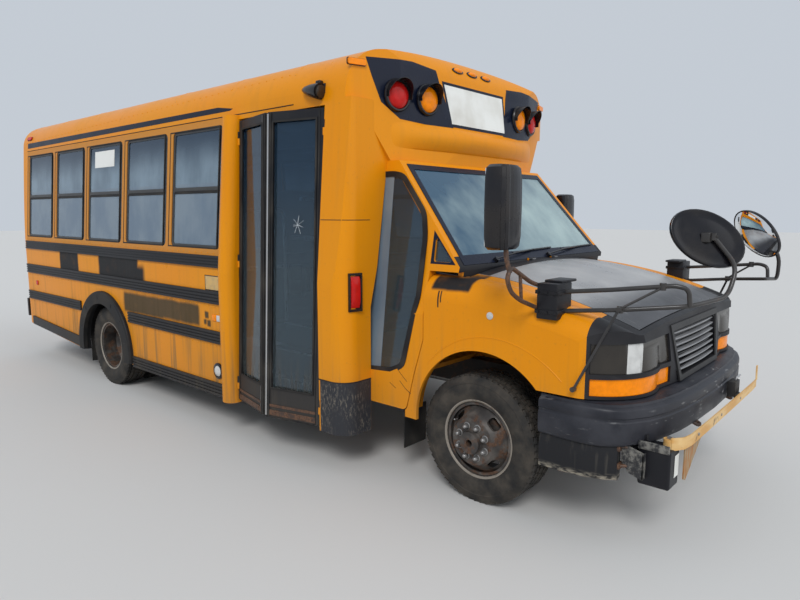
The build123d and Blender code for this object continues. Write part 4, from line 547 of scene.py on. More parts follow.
RECIPES = {
    "gloss_black": mottled((0.006, 0.006, 0.009), (0.016, 0.013, 0.012), (6, 4), (0.35, 0.7), (0.16, 0.3), (90, 2),
                           (0.08, 0.0006), Specular_IOR_Level=0.4),
    "smoked_plastic": mottled((0.012, 0.01, 0.008), (0.04, 0.032, 0.024), (8, 4), None, 0.22, (60, 2), (0.1, 0.0006)),
    "dark_grey_plastic": mottled((0.016, 0.016, 0.018), (0.04, 0.039, 0.038), (5, 5), None, 0.5, (300, 2),
                                 (0.2, 0.0005), Specular_IOR_Level=0.35),
    "light_grey_plastic": mottled((0.16, 0.165, 0.175), (0.30, 0.30, 0.30), (7, 5), None, 0.45, (300, 2),
                                  (0.2, 0.0005)),
    "grey_plastic": mottled((0.13, 0.13, 0.135), (0.19, 0.185, 0.18), (4, 4), None, 0.6, (380, 2), (0.25, 0.0006)),
    "black_plastic": mottled((0.009, 0.009, 0.012), (0.024, 0.023, 0.025), (3, 5), (0.35, 0.7), (0.42, 0.6), (420, 2),
                             (0.25, 0.0006), Specular_IOR_Level=0.28),
    "panel_black": mottled((0.004, 0.007, 0.018), (0.009, 0.013, 0.030), (5, 4), None, (0.2, 0.34), (140, 2),
                           (0.06, 0.0005), Specular_IOR_Level=0.2),
    "black_rubber": mottled((0.009, 0.009, 0.01), (0.045, 0.04, 0.034), (5, 5), (0.35, 0.75), (0.55, 0.8), (150, 3),
                            (0.3, 0.001), Specular_IOR_Level=0.3),
    "tyre_rubber": mottled((0.016, 0.0155, 0.015), (0.078, 0.066, 0.053), (9, 5, 0.6), (0.3, 0.8), (0.6, 0.85),
                           (130, 4), (0.3, 0.001), Specular_IOR_Level=0.3),
    "sign_white": mottled((0.80, 0.80, 0.76), (0.62, 0.60, 0.54), (4, 5), (0.35, 0.75), 0.4, (150, 2),
                          (0.06, 0.0005)),
    "sign_red": mottled((0.52, 0.02, 0.018), (0.4, 0.03, 0.025), (5, 4), None, 0.35, (150, 2), (0.1, 0.0005)),
    "faded_decal": mottled((0.62, 0.40, 0.14), (0.50, 0.34, 0.15), (30, 5), (0.4, 0.7), 0.45, (150, 2),
                           (0.06, 0.0005)),
    "crack_white": mottled((0.75, 0.78, 0.8), (0.55, 0.58, 0.6), (60, 2), None, 0.3),
    "bright_aluminium": mottled((0.62, 0.62, 0.62), (0.42, 0.41, 0.40), (12, 4), None, (0.25, 0.45), (120, 2),
                                (0.08, 0.0005), (4, 4, 1), Metallic=0.9),
    "dark_aluminium": mottled((0.03, 0.03, 0.032), (0.09, 0.088, 0.085), (6, 4), None, 0.42, (90, 2), (0.1, 0.0006),
                              (1, 1, 8), Metallic=0.5),
    "tube_black": rusted(11.0, 0.32, ((0.016, 0.015, 0.015), (0.05, 0.045, 0.042), (14, 4), None), (0.3, 0.75),
                         (0.3, 0.001)),
    "rusty_tube": rusted(13.0, 0.75, (0.05, 0.03, 0.022), 0.6, (0.4, 0.001)),
    "rusty_steel": rusted(14.0, 0.56, ((0.035, 0.031, 0.029), (0.12, 0.105, 0.092), (12, 5), (0.35, 0.7)),
                          (0.45, 0.8), (0.4, 0.002), Metallic=0.15),
    "chassis_black": rusted(9.0, 0.5, (0.03, 0.028, 0.026), 0.7, (0.3, 0.002)),
    "castings": rusted(16.0, 0.65, (0.07, 0.065, 0.06), 0.72, (0.4, 0.002), Metallic=0.3),
    "dull_steel": rusted(12.0, 0.3, (0.32, 0.31, 0.3), (0.4, 0.75), (0.3, 0.001), Metallic=0.8),
    "red_lens": tinted_lens((0.55, 0.012, 0.01)),
    "amber_lens": tinted_lens((1.0, 0.27, 0.0)),
    "clear_lens": tinted_lens((0.62, 0.62, 0.6)),
}
RECIPES.update((recipe.__name__, recipe) for recipe in (
    body_yellow, curb_side_yellow, fender_yellow, hood_black, screen_glass, window_glass, door_glass, clear_glass,
    mirror_glass, guard_grey, rim_edge, dusty_black, rusty_tan, bumper_plastic, valance_plastic, arm_tan, worn_black,
    vinyl, floor_rubber))


def material(name):
    """The named finish as a material."""
    return surface("bus_" + name, RECIPES[name])


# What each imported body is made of.
NODE_FINISH = {
    "body_yellow": "body_side_left crossing_arm driver_door entrance_frame front_cap rear_door rear_wall roof "
                   "roof_hatch",
    "curb_side_yellow": "body_side_right",
    "fender_yellow": "cab_panel_right cab_shell fenders",
    "hood_black": "hood",
    "worn_black": "entrance_leaf_front entrance_leaf_rear rear_bumper rub_rails",
    "black_plastic": "arm_motors door_mirror front_bumper grille mirrors steering_wheel",
    "grey_plastic": "dashboard",
    "black_rubber": "rubber_guards",
    "tyre_rubber": "front_tyre_left front_tyre_right rear_tyres_left rear_tyres_right",
    "rusty_steel": "front_rim_left front_rim_right rear_rims_left rear_rims_right",
    "chassis_black": "frame fuel_tank leaf_springs stepwell",
    "castings": "engine front_suspension knuckle_left knuckle_right rear_axle",
    "dull_steel": "driveshaft exhaust",
    "dark_aluminium": "window_frames",
    "door_glass": "entrance_glass_front entrance_glass_rear",
    "clear_glass": "driver_door_glass fixed_glass rear_door_glass",
    "vinyl": "driver_seat passenger_seats",
    "floor_rubber": "floor",
    "clear_lens": "front_lamps",
    "red_lens": "signal_lamps",
    "sign_red": "stop_arm",
}


def finish_nodes():
    """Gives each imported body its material."""
    for finish, names in NODE_FINISH.items():
        for name in names.split():
            mesh = NODES[name].data
            mesh.materials.clear()
            mesh.materials.append(material(finish))


# Making pieces. All lengths are millimetres from the front axle.
def millimetres(vector):
    """A length or offset given in millimetres, in metres."""
    return Vector(vector) / 1000


def settle(mesh, name, body, finish, smooth=35):
    """Turns a mesh into a finished piece that rides on a body."""
    made = bpy.data.objects.new(name, mesh)
    bpy.context.scene.collection.objects.link(made)
    mesh.materials.append(material(finish))
    if smooth:
        for face in mesh.polygons:
            face.use_smooth = True
        mesh.set_sharp_from_angle(angle=math.radians(smooth))
    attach(made, body)
    return made


def bake(bm, name, body, finish, smooth=35):
    """Closes a bmesh into a finished piece."""
    bmesh.ops.recalc_face_normals(bm, faces=bm.faces)
    mesh = bpy.data.meshes.new(name)
    bm.to_mesh(mesh)
    bm.free()
    return settle(mesh, name, body, finish, smooth)


class Kit:
    """Shapes that become one piece; their lengths are millimetres."""

    def __init__(self):
        self.bm = bmesh.new()

    def box(self, x0, x1, y0, y1, z0, z1, bevel=0, segments=2):
        low, high = at(x0, y0, z0), at(x1, y1, z1)
        size = high - low
        grid = Matrix.Translation((low + high) / 2) @ Matrix.Diagonal((*size, 1))
        made = bmesh.ops.create_cube(self.bm, size=1, matrix=grid)
        if bevel:
            edges = list(dict.fromkeys(edge for vert in made["verts"] for edge in vert.link_edges))
            bmesh.ops.bevel(self.bm, geom=edges, offset=bevel / 1000, segments=segments, affect="EDGES", profile=0.5,
                            material=-1)

    def side_box(self, sign, x0, x1, near, far, z0, z1, bevel=0):
        """A box on one side of the centre line."""
        low, high = sorted((sign * near, sign * far))
        self.box(x0, x1, low, high, z0, z1, bevel)

    def push(self, faces, offset):
        """Extrudes flat faces along an offset."""
        made = bmesh.ops.extrude_face_region(self.bm, geom=faces, use_keep_orig=True)
        moved = [item for item in made["geom"] if isinstance(item, bmesh.types.BMVert)]
        bmesh.ops.translate(self.bm, verts=moved, vec=millimetres(offset))

    def prism(self, points, offset):
        """A flat outline pushed along an offset."""
        verts = [self.bm.verts.new(at(*point)) for point in points]
        self.push([self.bm.faces.new(verts)], offset)

    def ring(self, outer, inner, offset):
        """A closed frame between two outlines of as many points, pushed along an offset."""
        outer, inner = [[self.bm.verts.new(at(*point)) for point in loop] for loop in (outer, inner)]
        faces = []
        for index in range(len(outer)):
            after = (index + 1) % len(outer)
            faces.append(self.bm.faces.new((outer[index], outer[after], inner[after], inner[index])))
        self.push(faces, offset)

    def lathe(self, centre, axis, profile, steps=24, flat=None):
        """A profile of (radius, distance along the axis) spun round an axis.

        flat holds two directions and how far the shape is drawn out along each."""
        axis = Vector(axis).normalized()
        side = axis.orthogonal().normalized()
        start = at(*centre)
        verts = [self.bm.verts.new(start + axis * (along / 1000) + side * (radius / 1000))
                 for radius, along in profile]
        edges = [self.bm.edges.new(pair) for pair in zip(verts, verts[1:])]
        bmesh.ops.spin(self.bm, geom=verts + edges, cent=start, axis=axis, angle=math.tau, steps=steps,
                       use_merge=True)
        reach = list(verts)
        known = set(verts)
        for vert in reach:
            fresh = [other for edge in vert.link_edges for other in edge.verts if other not in known]
            reach += dict.fromkeys(fresh)
            known.update(fresh)
        if flat:
            across, up, wide, tall = flat
            across, up = Vector(across).normalized(), Vector(up).normalized()
            for vert in reach:
                away = vert.co - start
                vert.co += across * (away.dot(across) * (wide - 1)) + up * (away.dot(up) * (tall - 1))
        bmesh.ops.remove_doubles(self.bm, verts=reach, dist=1e-6)

    def cylinder(self, centre, axis, radius, length, steps=16, rim=0):
        """A capped cylinder that grows from its centre along its axis."""
        profile = [(0, 0), (radius, 0), (radius, length - rim), (radius - rim, length), (0, length)]
        if not rim:
            del profile[3]
        self.lathe(centre, axis, profile, steps)

    def stub(self, centre, axis, radius, low, high, steps):
        """A capped cylinder between two distances along its axis."""
        self.lathe(centre, axis, [(0, low), (radius, low), (radius, high), (0, high)], steps)

    def sleeve(self, rings, cap=True):
        """Skins a row of rings of as many points, given in metres of the frame."""
        last = None
        for ring in rings:
            now = [self.bm.verts.new(point) for point in ring]
            if last:
                for index in range(len(now)):
                    after = (index + 1) % len(now)
                    self.bm.faces.new((last[index], last[after], now[after], now[index]))
            elif cap:
                self.bm.faces.new(list(reversed(now)))
            last = now
        if cap:
            self.bm.faces.new(last)

    def rod(self, points, radius, steps=10, bend=0, cap=True):
        """A round bar through points, with rounded bends."""
        line = [at(*point) for point in (rounded(points, bend) if bend else points)]
        turns = [math.tau * step / steps for step in range(steps)]
        rings = []
        side = None
        for index, place in enumerate(line):
            ahead = (line[min(index + 1, len(line) - 1)] - line[max(index - 1, 0)]).normalized()
            if side is None:
                side = ahead.orthogonal().normalized()
            side = (side - ahead * side.dot(ahead)).normalized()
            other = ahead.cross(side)
            rings.append([place + (side * math.cos(turn) + other * math.sin(turn)) * radius / 1000 for turn in turns])
        self.sleeve(rings, cap)

    def strip(self, lines):
        """A closed bar whose sections are the given rings of points, all of the same length."""
        self.sleeve([[at(*point) for point in ring] for ring in lines])

    def done(self, name, body, slot, finish, smooth=35, replaces=()):
        made = bake(self.bm, name, body, finish, smooth)
        if replaces:
            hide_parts(*replaces)
        return made


def bent_corner(before, corner, after, bend, limit, steps):
    """A curve over one corner of a line, which takes at most a share of its sides."""
    into, out = corner - before, after - corner
    reach = min(bend, into.length * limit, out.length * limit)
    start, end = corner - into.normalized() * reach, corner + out.normalized() * reach
    curve = []
    for step in range(steps + 1):
        share = step / steps
        curve.append((1 - share) ** 2 * start + 2 * share * (1 - share) * corner + share ** 2 * end)
    return curve


def rounded(points, bend, steps=5):
    """A line of points with its corners turned into curves."""
    points = [Vector(point) for point in points]
    line = [points[0]]
    for before, corner, after in zip(points, points[1:], points[2:]):
        line += bent_corner(before, corner, after, bend, 0.45, steps)
    line.append(points[-1])
    return line


def skin(name, node, body, slot, finish, cuts, lift=0.8, facing=None, replaces=(), smooth=35):
    """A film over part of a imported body: a copy of its faces, cut by planes and lifted off a little.

    Each cut is a point and a direction; what lies beyond it in that direction goes."""
    source = NODES[node]
    bm = bmesh.new()
    bm.from_mesh(source.data)
    bmesh.ops.transform(bm, matrix=source.matrix_world, verts=bm.verts)
    bmesh.ops.remove_doubles(bm, verts=bm.verts, dist=1e-5)
    for point, direction in cuts:
        geometry = bm.verts[:] + bm.edges[:] + bm.faces[:]
        bmesh.ops.bisect_plane(bm, geom=geometry, dist=1e-6, plane_co=at(*point), plane_no=Vector(direction),
                               clear_outer=True)
    bm.normal_update()
    if facing:
        away = [face for face in bm.faces if not facing(face.normal, face.calc_center_median())]
        bmesh.ops.delete(bm, geom=away, context="FACES")
    bm.normal_update()
    shifts = {}
    for vert in bm.verts:
        normal = Vector()
        for face in vert.link_faces:
            normal += face.normal * face.calc_area()
        shifts[vert] = normal.normalized() * lift / 1000 if normal.length else Vector()
    for vert, shift in shifts.items():
        vert.co += shift
    mesh = bpy.data.meshes.new(name)
    bm.to_mesh(mesh)
    bm.free()
    made = settle(mesh, name, body, finish, smooth)
    if replaces:
        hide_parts(*replaces)
    return made


# Wheels.
TYRE_RADIUS = 370
TREAD_PITCHES = 60
TREAD_RIBS = ((-82, 24), (-46, 26), (0, 40), (46, 26), (82, 24))
FRONT_WHEEL_Y = 852
REAR_WHEEL_Y = (808, 1100)

# Half of the tyre's outside, and its lining, as (radius, distance from the middle).
TYRE_WALL = ((206, 78), (214, 90), (232, 98), (250, 107), (275, 112.5), (300, 111), (318, 108.5), (322, 110.5),
             (334, 106), (348, 101), (360, 96), (361, 70), (361, 30), (361, 0))
TYRE_LINING = ((212, -66), (300, -92), (342, -80), (350, 0))

# A tread block's length and depth in metres, its slant in radians, and how deep its middle lies under the tread.
TREAD_BLOCK = (0.0335, 0.012)
TREAD_SLANT = 0.25
TREAD_SINK = 6.4


def tyre_mesh():
    """A tyre about its own centre, its axis along Y: bulged walls and a cut tread."""
    kit = Kit()
    middle = (-AXLE_X * 1000, 0, 0)
    outline = [*TYRE_WALL, *((r, -y) for r, y in reversed(TYRE_WALL[:-1]))]
    outline += [*TYRE_LINING, *((r, -y) for r, y in reversed(TYRE_LINING[:-1]))]
    kit.lathe(middle, (0, 1, 0), outline + [outline[0]], steps=72)
    pitch = math.tau / TREAD_PITCHES
    for row, (y, width) in enumerate(TREAD_RIBS):
        shift = pitch * 0.5 * (row % 2)
        for index in range(TREAD_PITCHES):
            turn = index * pitch + shift
            size = Matrix.Diagonal((TREAD_BLOCK[0], width / 1000, TREAD_BLOCK[1], 1))
            slant = Matrix.Rotation(TREAD_SLANT * (1 if row % 2 else -1), 4, "Z")
            lift = Matrix.Translation((0, y / 1000, (TYRE_RADIUS - TREAD_SINK) / 1000))
            place = Matrix.Rotation(turn, 4, "Y") @ lift @ slant @ size
            bmesh.ops.create_cube(kit.bm, size=1, matrix=place)
    bmesh.ops.recalc_face_normals(kit.bm, faces=kit.bm.faces)
    mesh = bpy.data.meshes.new("tyre_shape")
    kit.bm.to_mesh(mesh)
    kit.bm.free()
    return mesh


def add_tyres():
    """One tyre shape, set on every wheel; a twin pair is one piece."""
    shape = tyre_mesh()
    for side, sign in SIDES.items():
        rows = {f"front_tyre_{side}": (f"wheel_front_{side}", 0, [FRONT_WHEEL_Y]),
                f"rear_tyres_{side}": (f"wheels_rear_{side}", -WHEELBASE, list(REAR_WHEEL_Y))}
        for node, (body, x, places) in rows.items():
            bm = bmesh.new()
            for y in places:
                part = shape.copy()
                part.transform(Matrix.Translation(at(x, sign * y, TYRE_RADIUS)))
                bm.from_mesh(part)
                bpy.data.meshes.remove(part)
            mesh = bpy.data.meshes.new("detailed_" + node)
            bm.to_mesh(mesh)
            bm.free()
            made = settle(mesh, "detailed_" + node, body, "tyre_rubber", 30)
            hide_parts(node)
    bpy.data.meshes.remove(shape)


# Circles of the nuts and the valve, the point between two nuts, and profiles as (radius, distance outward).
LUG_CIRCLE = 92
LUG_COUNT = 8
LIP_OUT = 91
BETWEEN_NUTS = (0.924, 0.383)
VALVE_CIRCLE = 150
VALVE_TURN = 2.3
NUT = ((16.5, 3), (16.5, 19), (12, 24), (11, 29), (6, 33), (0, 34))
WASHER = ((0, -4), (21, -4), (21, 3), (17, 5))
LIP = ((211, -10), (215, 2), (224, 6), (232, 3), (234, -5), (222, -14), (211, -10))

# Each axle's rim node and body, its place, and the middle of its outer wheel.
AXLES = (("front_rim", "wheel_front", 0, FRONT_WHEEL_Y), ("rear_rims", "wheels_rear", -WHEELBASE, REAR_WHEEL_Y[1]))


def add_wheel_fittings():
    """Nuts, a valve, the hub's bore and the rubbed lip of every wheel, its pale paint partly a painted highlight."""
    for side, sign in SIDES.items():
        out = (0, sign, 0)
        for rim, wheel, x, middle in AXLES:
            body = f"{wheel}_{side}"
            face = disc_face(f"{rim}_{side}", x, sign)
            kit = Kit()
            for index in range(LUG_COUNT):
                turn = math.tau * (index + 0.5) / LUG_COUNT
                place = (x + LUG_CIRCLE * math.cos(turn), sign * face, TYRE_RADIUS + LUG_CIRCLE * math.sin(turn))
                kit.lathe(place, out, WASHER, 16)
                kit.lathe(place, out, NUT, 6)
            ahead, up = VALVE_CIRCLE * math.cos(VALVE_TURN), VALVE_CIRCLE * math.sin(VALVE_TURN)
            foot = Vector((x + ahead, sign * (face + 2), TYRE_RADIUS + up))
            kit.rod([foot, foot + Vector((0, sign * 18, 0)), foot + Vector((12, sign * 45, 10))], 4, 8, 8)
            kit.done(f"lug_nuts_{body}", body, "wheel_paint", "dull_steel", 40)
            core = hub_end(x, sign)
            mouth = max(core + 12, face + 30)
            kit = Kit()
            bore = [(66, face - 6), (66, face + 6), (61, face + 12), (60, mouth - 3), (57, mouth), (50, mouth),
                    (47, mouth - 4), (45, core + 2), (0, core + 2)]
            kit.lathe((x, 0, TYRE_RADIUS), out, bore, 32)
            kit.done(f"hub_bore_{body}", body, "wheel_paint", "rusty_steel", 40)
            kit = Kit()
            kit.lathe((x, 0, TYRE_RADIUS), out, [(r, middle + LIP_OUT + along) for r, along in LIP], 56)
            kit.done(f"rim_lip_{body}", body, "wheel_paint", "rim_edge", 60)


def hub_end(x, sign):
    """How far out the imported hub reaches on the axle's line."""
    names = [name for name in NODES if "rim" in name or "knuckle" in name or name == "rear_axle"]
    spot, _ = touch(names, (x, sign * 2000, TYRE_RADIUS), (0, -sign, 0))
    return abs(spot.y)


def disc_face(rim, x, sign):
    """How far out the wheel disc's bolt face lies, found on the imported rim."""
    ahead, up = (LUG_CIRCLE * share for share in BETWEEN_NUTS)
    spot, _ = touch([rim], (x + ahead, sign * 2000, TYRE_RADIUS + up), (0, -sign, 0))
    return abs(spot.y)


# The nose: a plane through the grille's foot and head, each as (x, z).
NOSE_FOOT = (885, 690)
NOSE_SLOPE = (885 - 835) / (1062 - 690)
GRILLE_OUTER = ((-425, 1050), (425, 1050), (350, 744), (-350, 744))
GRILLE_INNER = ((-392, 1016), (392, 1016), (322, 772), (-322, 772))
GRILLE_BARS = 7
BAR_FIRST, BAR_PITCH = 794, 33.5
LAMP_SPLIT = 852
LENS_EDGES = (780, 862)


def nose_x(z):
    """How far ahead the nose's plane lies at a height."""
    return NOSE_FOOT[0] - NOSE_SLOPE * (z - NOSE_FOOT[1])


def add_grille():
    """Surround, curved bars and the dark screen behind them."""
    kit = Kit()
    outer, inner = ([(nose_x(z) - 2, y, z) for y, z in loop] for loop in (GRILLE_OUTER, GRILLE_INNER))
    kit.ring(outer, inner, (9, 0, 1.2))
    kit.done("grille_surround", "body", "black_plastic", "dark_grey_plastic")
    kit = Kit()
    for index in range(GRILLE_BARS):
        z = BAR_FIRST + index * BAR_PITCH
        half = 322 + (z - 772) / (1016 - 772) * 70 + 2
        rows = []
        for step in range(9):
            y = -half + 2 * half * step / 8
            x = nose_x(z) + 2 - 14 * (y / half) ** 2
            rows.append([(x, y, z - 4), (x + 3, y, z), (x, y, z + 5), (x - 26, y, z + 8), (x - 28, y, z + 3)])
        kit.strip(rows)
    kit.done("grille_bars", "body", "grey_plastic", "light_grey_plastic")
    kit = Kit()
    kit.box(770, 776, -395, 395, 760, 1030)
    kit.done("radiator_screen", "body", "black_plastic", "chassis_black")


def add_front_lamps():
    """A clear lens between dark bezels above the split, and an amber turn lens below it."""
    inner, outer = LENS_EDGES

    def film(name, slot, finish, sign, level, *planes, **others):
        cuts = [((0, 0, LAMP_SPLIT), (0, 0, level)), ((0, 0, 0), (0, -sign, 0))]
        cuts += [((0, sign * edge, 0), (0, sign * away, 0)) for edge, away in planes]
        skin(name, "front_lamps", "body", slot, finish, cuts, 0, **others)
    for side, sign in SIDES.items():
        film(f"headlamp_lenses_{side}", "head_lamp", "clear_lens", sign, -1, (inner, -1), (outer, 1),
             replaces=["front_lamps"])
    for side, sign in SIDES.items():
        for part, plane in (("outer", (outer, -1)), ("inner", (inner, 1))):
            film(f"headlamp_bezels_{part}_{side}", "black_plastic", "smoked_plastic", sign, -1, plane)
    for side, sign in SIDES.items():
        film(f"turn_lenses_{side}", "lamp_lens", "amber_lens", sign, 1)


# Mirrors.
CURB_MIRROR = (330, -1250, 1655)
DOOR_MIRROR = (-612, 1250, 1640)

# The cross-view mirrors: place, turn, lift and tilt, half axes, and profiles of the back and the domed glass.
CROSS_PLACE = (1015, 518, 1512)
CROSS_YAW = math.radians(-50)
CROSS_PITCH = 0.3
CROSS_TILT = math.radians(30)
CROSS_HALF = (190, 130)
CROSS_BACK = ((0, 9), (120, 7), (166, 3), (176, 6), (186, 4), (190, -6), (188, -14), (180, -14))
CROSS_DOME = ((182, -12), (160, -26), (120, -40), (70, -50), (25, -54), (0, -55))

# The flat mirrors' panes: name, body, head, how far behind its middle, half width and half height.
MIRROR_PANES = (("curb_mirror_glass", "body", CURB_MIRROR, 49, 93, 178),
                ("door_mirror_glass", "driver_door", DOOR_MIRROR, 48, 91, 134))

# Tubes of the left side's mirror; the right side's are their mirror image. The loop is on the curb side only.
LOWER_ARM = ((470, 950, 1150), (770, 930, 1184), (1038, 800, 1213), (1132, 560, 1240), (1147, 490, 1380))
UPPER_ARM = ((470, 950, 1245), (718, 905, 1272), (980, 830, 1305), (1030, 806, 1290), (1037, 800, 1213))
CURB_LOOP = ((430, -905, 1245), (365, -1040, 1289), (358, -1225, 1378), (358, -1262, 1330), (357, -1225, 1262),
             (358, -1140, 1213), (385, -980, 1153), (430, -905, 1150))


# A mirror head's crown as (share of its half height, how far its edges draw in), and its flutes.
MIRROR_CROWN = ((-1, 26), (-0.93, 9), (-0.7, 2), (0, 0), (0.7, 2), (0.93, 9), (1, 26))
FLUTES = 6


def mirror_head(kit, centre, wide, deep, tall):
    """A crowned housing with upright flutes on its back."""
    x, y, z = centre
    rings = []
    for share, pull in MIRROR_CROWN:
        height = z + share * tall / 2
        half = wide / 2 - pull
        back, front = deep / 2 - pull * 0.5, -deep / 2 + pull * 0.3
        ring = [(x + front, y - half + 6, height), (x + front + 14, y - half, height),
                (x + back - 34, y - half + 2, height)]
        for index in range(FLUTES + 1):
            across = y - half + 12 + (2 * half - 24) * index / FLUTES
            bulge = 1 - ((across - y) / half) ** 2
            ring.append((x + back - 14 + 14 * bulge, across, height))
            if index < FLUTES:
                ring.append((x + back - 18 + 14 * bulge, across + (2 * half - 24) / FLUTES * 0.5, height))
        ring += [(x + back - 34, y + half - 2, height), (x + front + 14, y + half, height),
                 (x + front, y + half - 6, height)]
        rings.append(ring)
    kit.strip(rings)


def cross_frame(sign):
    """Centre, facing and the two half axes of a cross-view mirror."""
    level = math.cos(CROSS_PITCH)
    facing = Vector((math.cos(CROSS_YAW) * level, -sign * math.sin(CROSS_YAW) * level, math.sin(CROSS_PITCH)))
    level = Vector((-sign * facing.y, sign * facing.x, 0)).normalized()
    up = facing.cross(level)
    tilt = sign * CROSS_TILT
    across = level * math.cos(tilt) + up * math.sin(tilt)
    return Vector((CROSS_PLACE[0], sign * CROSS_PLACE[1], CROSS_PLACE[2])), facing, across, facing.cross(across)


def add_flat_mirrors():
    """The curb side's mirror, and the driver's door mirror on its arm."""
    kit = Kit()
    mirror_head(kit, CURB_MIRROR, 214, 92, 388)
    kit.done("curb_mirror_head", "body", "black_plastic", "gloss_black", 40, replaces=["mirrors"])
    kit = Kit()
    mirror_head(kit, DOOR_MIRROR, 210, 90, 298)
    kit.rod([(-520, 905, 1290), (-545, 1080, 1400), (-612, 1250, 1430), (-612, 1250, 1520)], 15, 12, 30)
    kit.done("door_mirror_head", "driver_door", "black_plastic", "gloss_black", 40, replaces=["door_mirror"])
    for name, body, (x, y, z), sink, half, rise in MIRROR_PANES:
        kit = Kit()
        kit.box(x - sink, x - sink + 5, y - half, y + half, z - rise, z + rise, 2)
        kit.done(name, body, "steel", "mirror_glass")


def add_cross_mirror(side, sign):
    """A cross-view mirror: a flat back and a domed glass."""
    place, facing, across, up = cross_frame(sign)
    half_a, half_b = CROSS_HALF
    flat = (across, up, 1.0, half_b / half_a)
    kit = Kit()
    kit.lathe(place, facing, CROSS_BACK, 40, flat)
    kit.done(f"cross_view_back_{side}", "body", "black_plastic", "gloss_black", 50)
    kit = Kit()
    kit.lathe(place, facing, CROSS_DOME, 40, flat)
    kit.done(f"cross_view_glass_{side}", "body", "steel", "mirror_glass", 60)
    return place + facing * 12


def add_mirror_arms(side, sign, end):
    """The tubes from the fender's bracket to a cross-view mirror, with their clamps and the strut below."""
    def across(points):
        return [(x, sign * y, z) for x, y, z in points]
    kit = Kit()
    kit.box(end.x - 30, end.x + 12, end.y - 26, end.y + 26, end.z - 24, end.z + 24, 6)
    tip = (end.x + 20, end.y, end.z + 4)
    kit.rod([*across(LOWER_ARM), tip], 11, 12, 60)
    kit.rod(across(UPPER_ARM), 11, 12, 40)
    kit.rod(across([(770, 930, 1190), (928, 845, 1294)]), 6, 8)
    for spot in (*across([(770, 930, 1186), (928, 845, 1298)]), tip):
        kit.stub(spot, (0, 0, 1), 15, -17, 17, 12)
        kit.stub(spot, (1, 0, 0), 7, -22, 22, 6)
    kit.done(f"mirror_arms_{side}", "body", "black_plastic", "tube_black")
    kit = Kit()
    kit.prism(across([(764, 950, 1190), (778, 950, 1190), (606, 1036, 786), (592, 1036, 786)]), (0, -sign * 5, 0))
    for centre in across([(771, 948, 1188), (599, 1030, 792)]):
        kit.stub(centre, (0, 1, 0), 13, -12, 12, 12)
    kit.done(f"mirror_strut_{side}", "body", "black_plastic", "tube_black")


def add_mirror_bracket(side, sign):
    """The bolted box on the fender that carries the arms."""
    kit = Kit()
    kit.side_box(sign, 384, 496, 868, 1022, 1112, 1290, 6)
    for z in (1236, 1140):
        kit.box(376, 504, min(sign * 868, sign * 1022) - 4, max(sign * 868, sign * 1022) + 4, z, z + 20, 3)
    kit.side_box(sign, 392, 488, 800, 962, 1288, 1302, 5)
    for z in (1148, 1246):
        for x in (392, 440, 488):
            kit.stub((x, sign * 1026, z), (0, sign, 0), 9, -8, 6, 6)
    kit.done(f"mirror_bracket_{side}", "body", "black_plastic", "worn_black")


def add_mirrors():
    """Flat mirrors, both cross-view mirrors with what carries them, and the curb mirror's loop."""
    add_flat_mirrors()
    for side, sign in SIDES.items():
        end = add_cross_mirror(side, sign)
        add_mirror_arms(side, sign, end)
        add_mirror_bracket(side, sign)
    kit = Kit()
    kit.rod(CURB_LOOP, 11, 12, 40)
    kit.rod([(358, -1140, 1330), (356, -1120, 1205)], 9, 10)
    kit.rod([(358, -1236, 1352), (346, -1250, 1420), (340, -1250, 1500)], 12, 12, 20)
    kit.done("curb_mirror_loop", "body", "black_plastic", "rusty_tube")


# Paint marks, lamps and trim of the body.
def convex_cuts(points, axis):
    """Cuts that keep what lies inside a convex outline seen along an axis."""
    points = [Vector(point) for point in points]
    middle = sum(points, Vector()) / len(points)
    cuts = []
    for first, second in zip(points, points[1:] + points[:1]):
        away = (second - first).cross(Vector(axis))
        if away.dot(middle - first) > 0:
            away = -away
        cuts.append((first, away))
    return cuts


def touch(nodes, start, aim):
    """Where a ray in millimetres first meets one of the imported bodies, and the outward direction there."""
    best = None
    origin, aim = at(*start), Vector(aim).normalized()
    for name in nodes:
        node = NODES[name]
        inverse = node.matrix_world.inverted()
        hit, place, normal, _ = node.ray_cast(inverse @ origin, inverse.to_3x3() @ aim)
        if hit:
            place = node.matrix_world @ place
            normal = (node.matrix_world.to_3x3() @ normal).normalized()
            if best is None or (place - origin).length < (best[0] - origin).length:
                best = (place, normal)
    if best is None:
        raise RuntimeError(f"nothing of {nodes} is met from {start}")
    place, normal = best
    return Vector(((place.x - AXLE_X) * 1000, place.y * 1000, place.z * 1000)), normal


# The cap's lamp panel and its sign as (y, z), and how far the cantrail's stripe runs.
PANEL_OUTLINE = ((430, 2550), (662, 2566), (1030, 2540), (985, 2440), (930, 2300), (779, 2206), (302, 2170))
SIGN_OUTLINE = ((-354, 2472), (354, 2472), (326, 2216), (-326, 2216))
SIGN_MIDDLE = 2344
CANTRAIL = (-5943, -1960)

# Warning lamps of the cap as (y, turn outward, lens), and lamps of the back as (y, z, radius, lens).
WARNING_PLACES = ((559, 0.07, "amber_lens"), (805, 0.16, "red_lens"))
TAIL_PLACES = ((1010, 1120, 84, "red_lens"), (790, 1120, 84, "amber_lens"), (1010, 880, 56, "red_lens"),
               (790, 880, 56, "clear_lens"))


def faces_forward(normal, centre):
    """Whether a face looks ahead; what a film over the cap covers."""
    return normal.x > 0.3


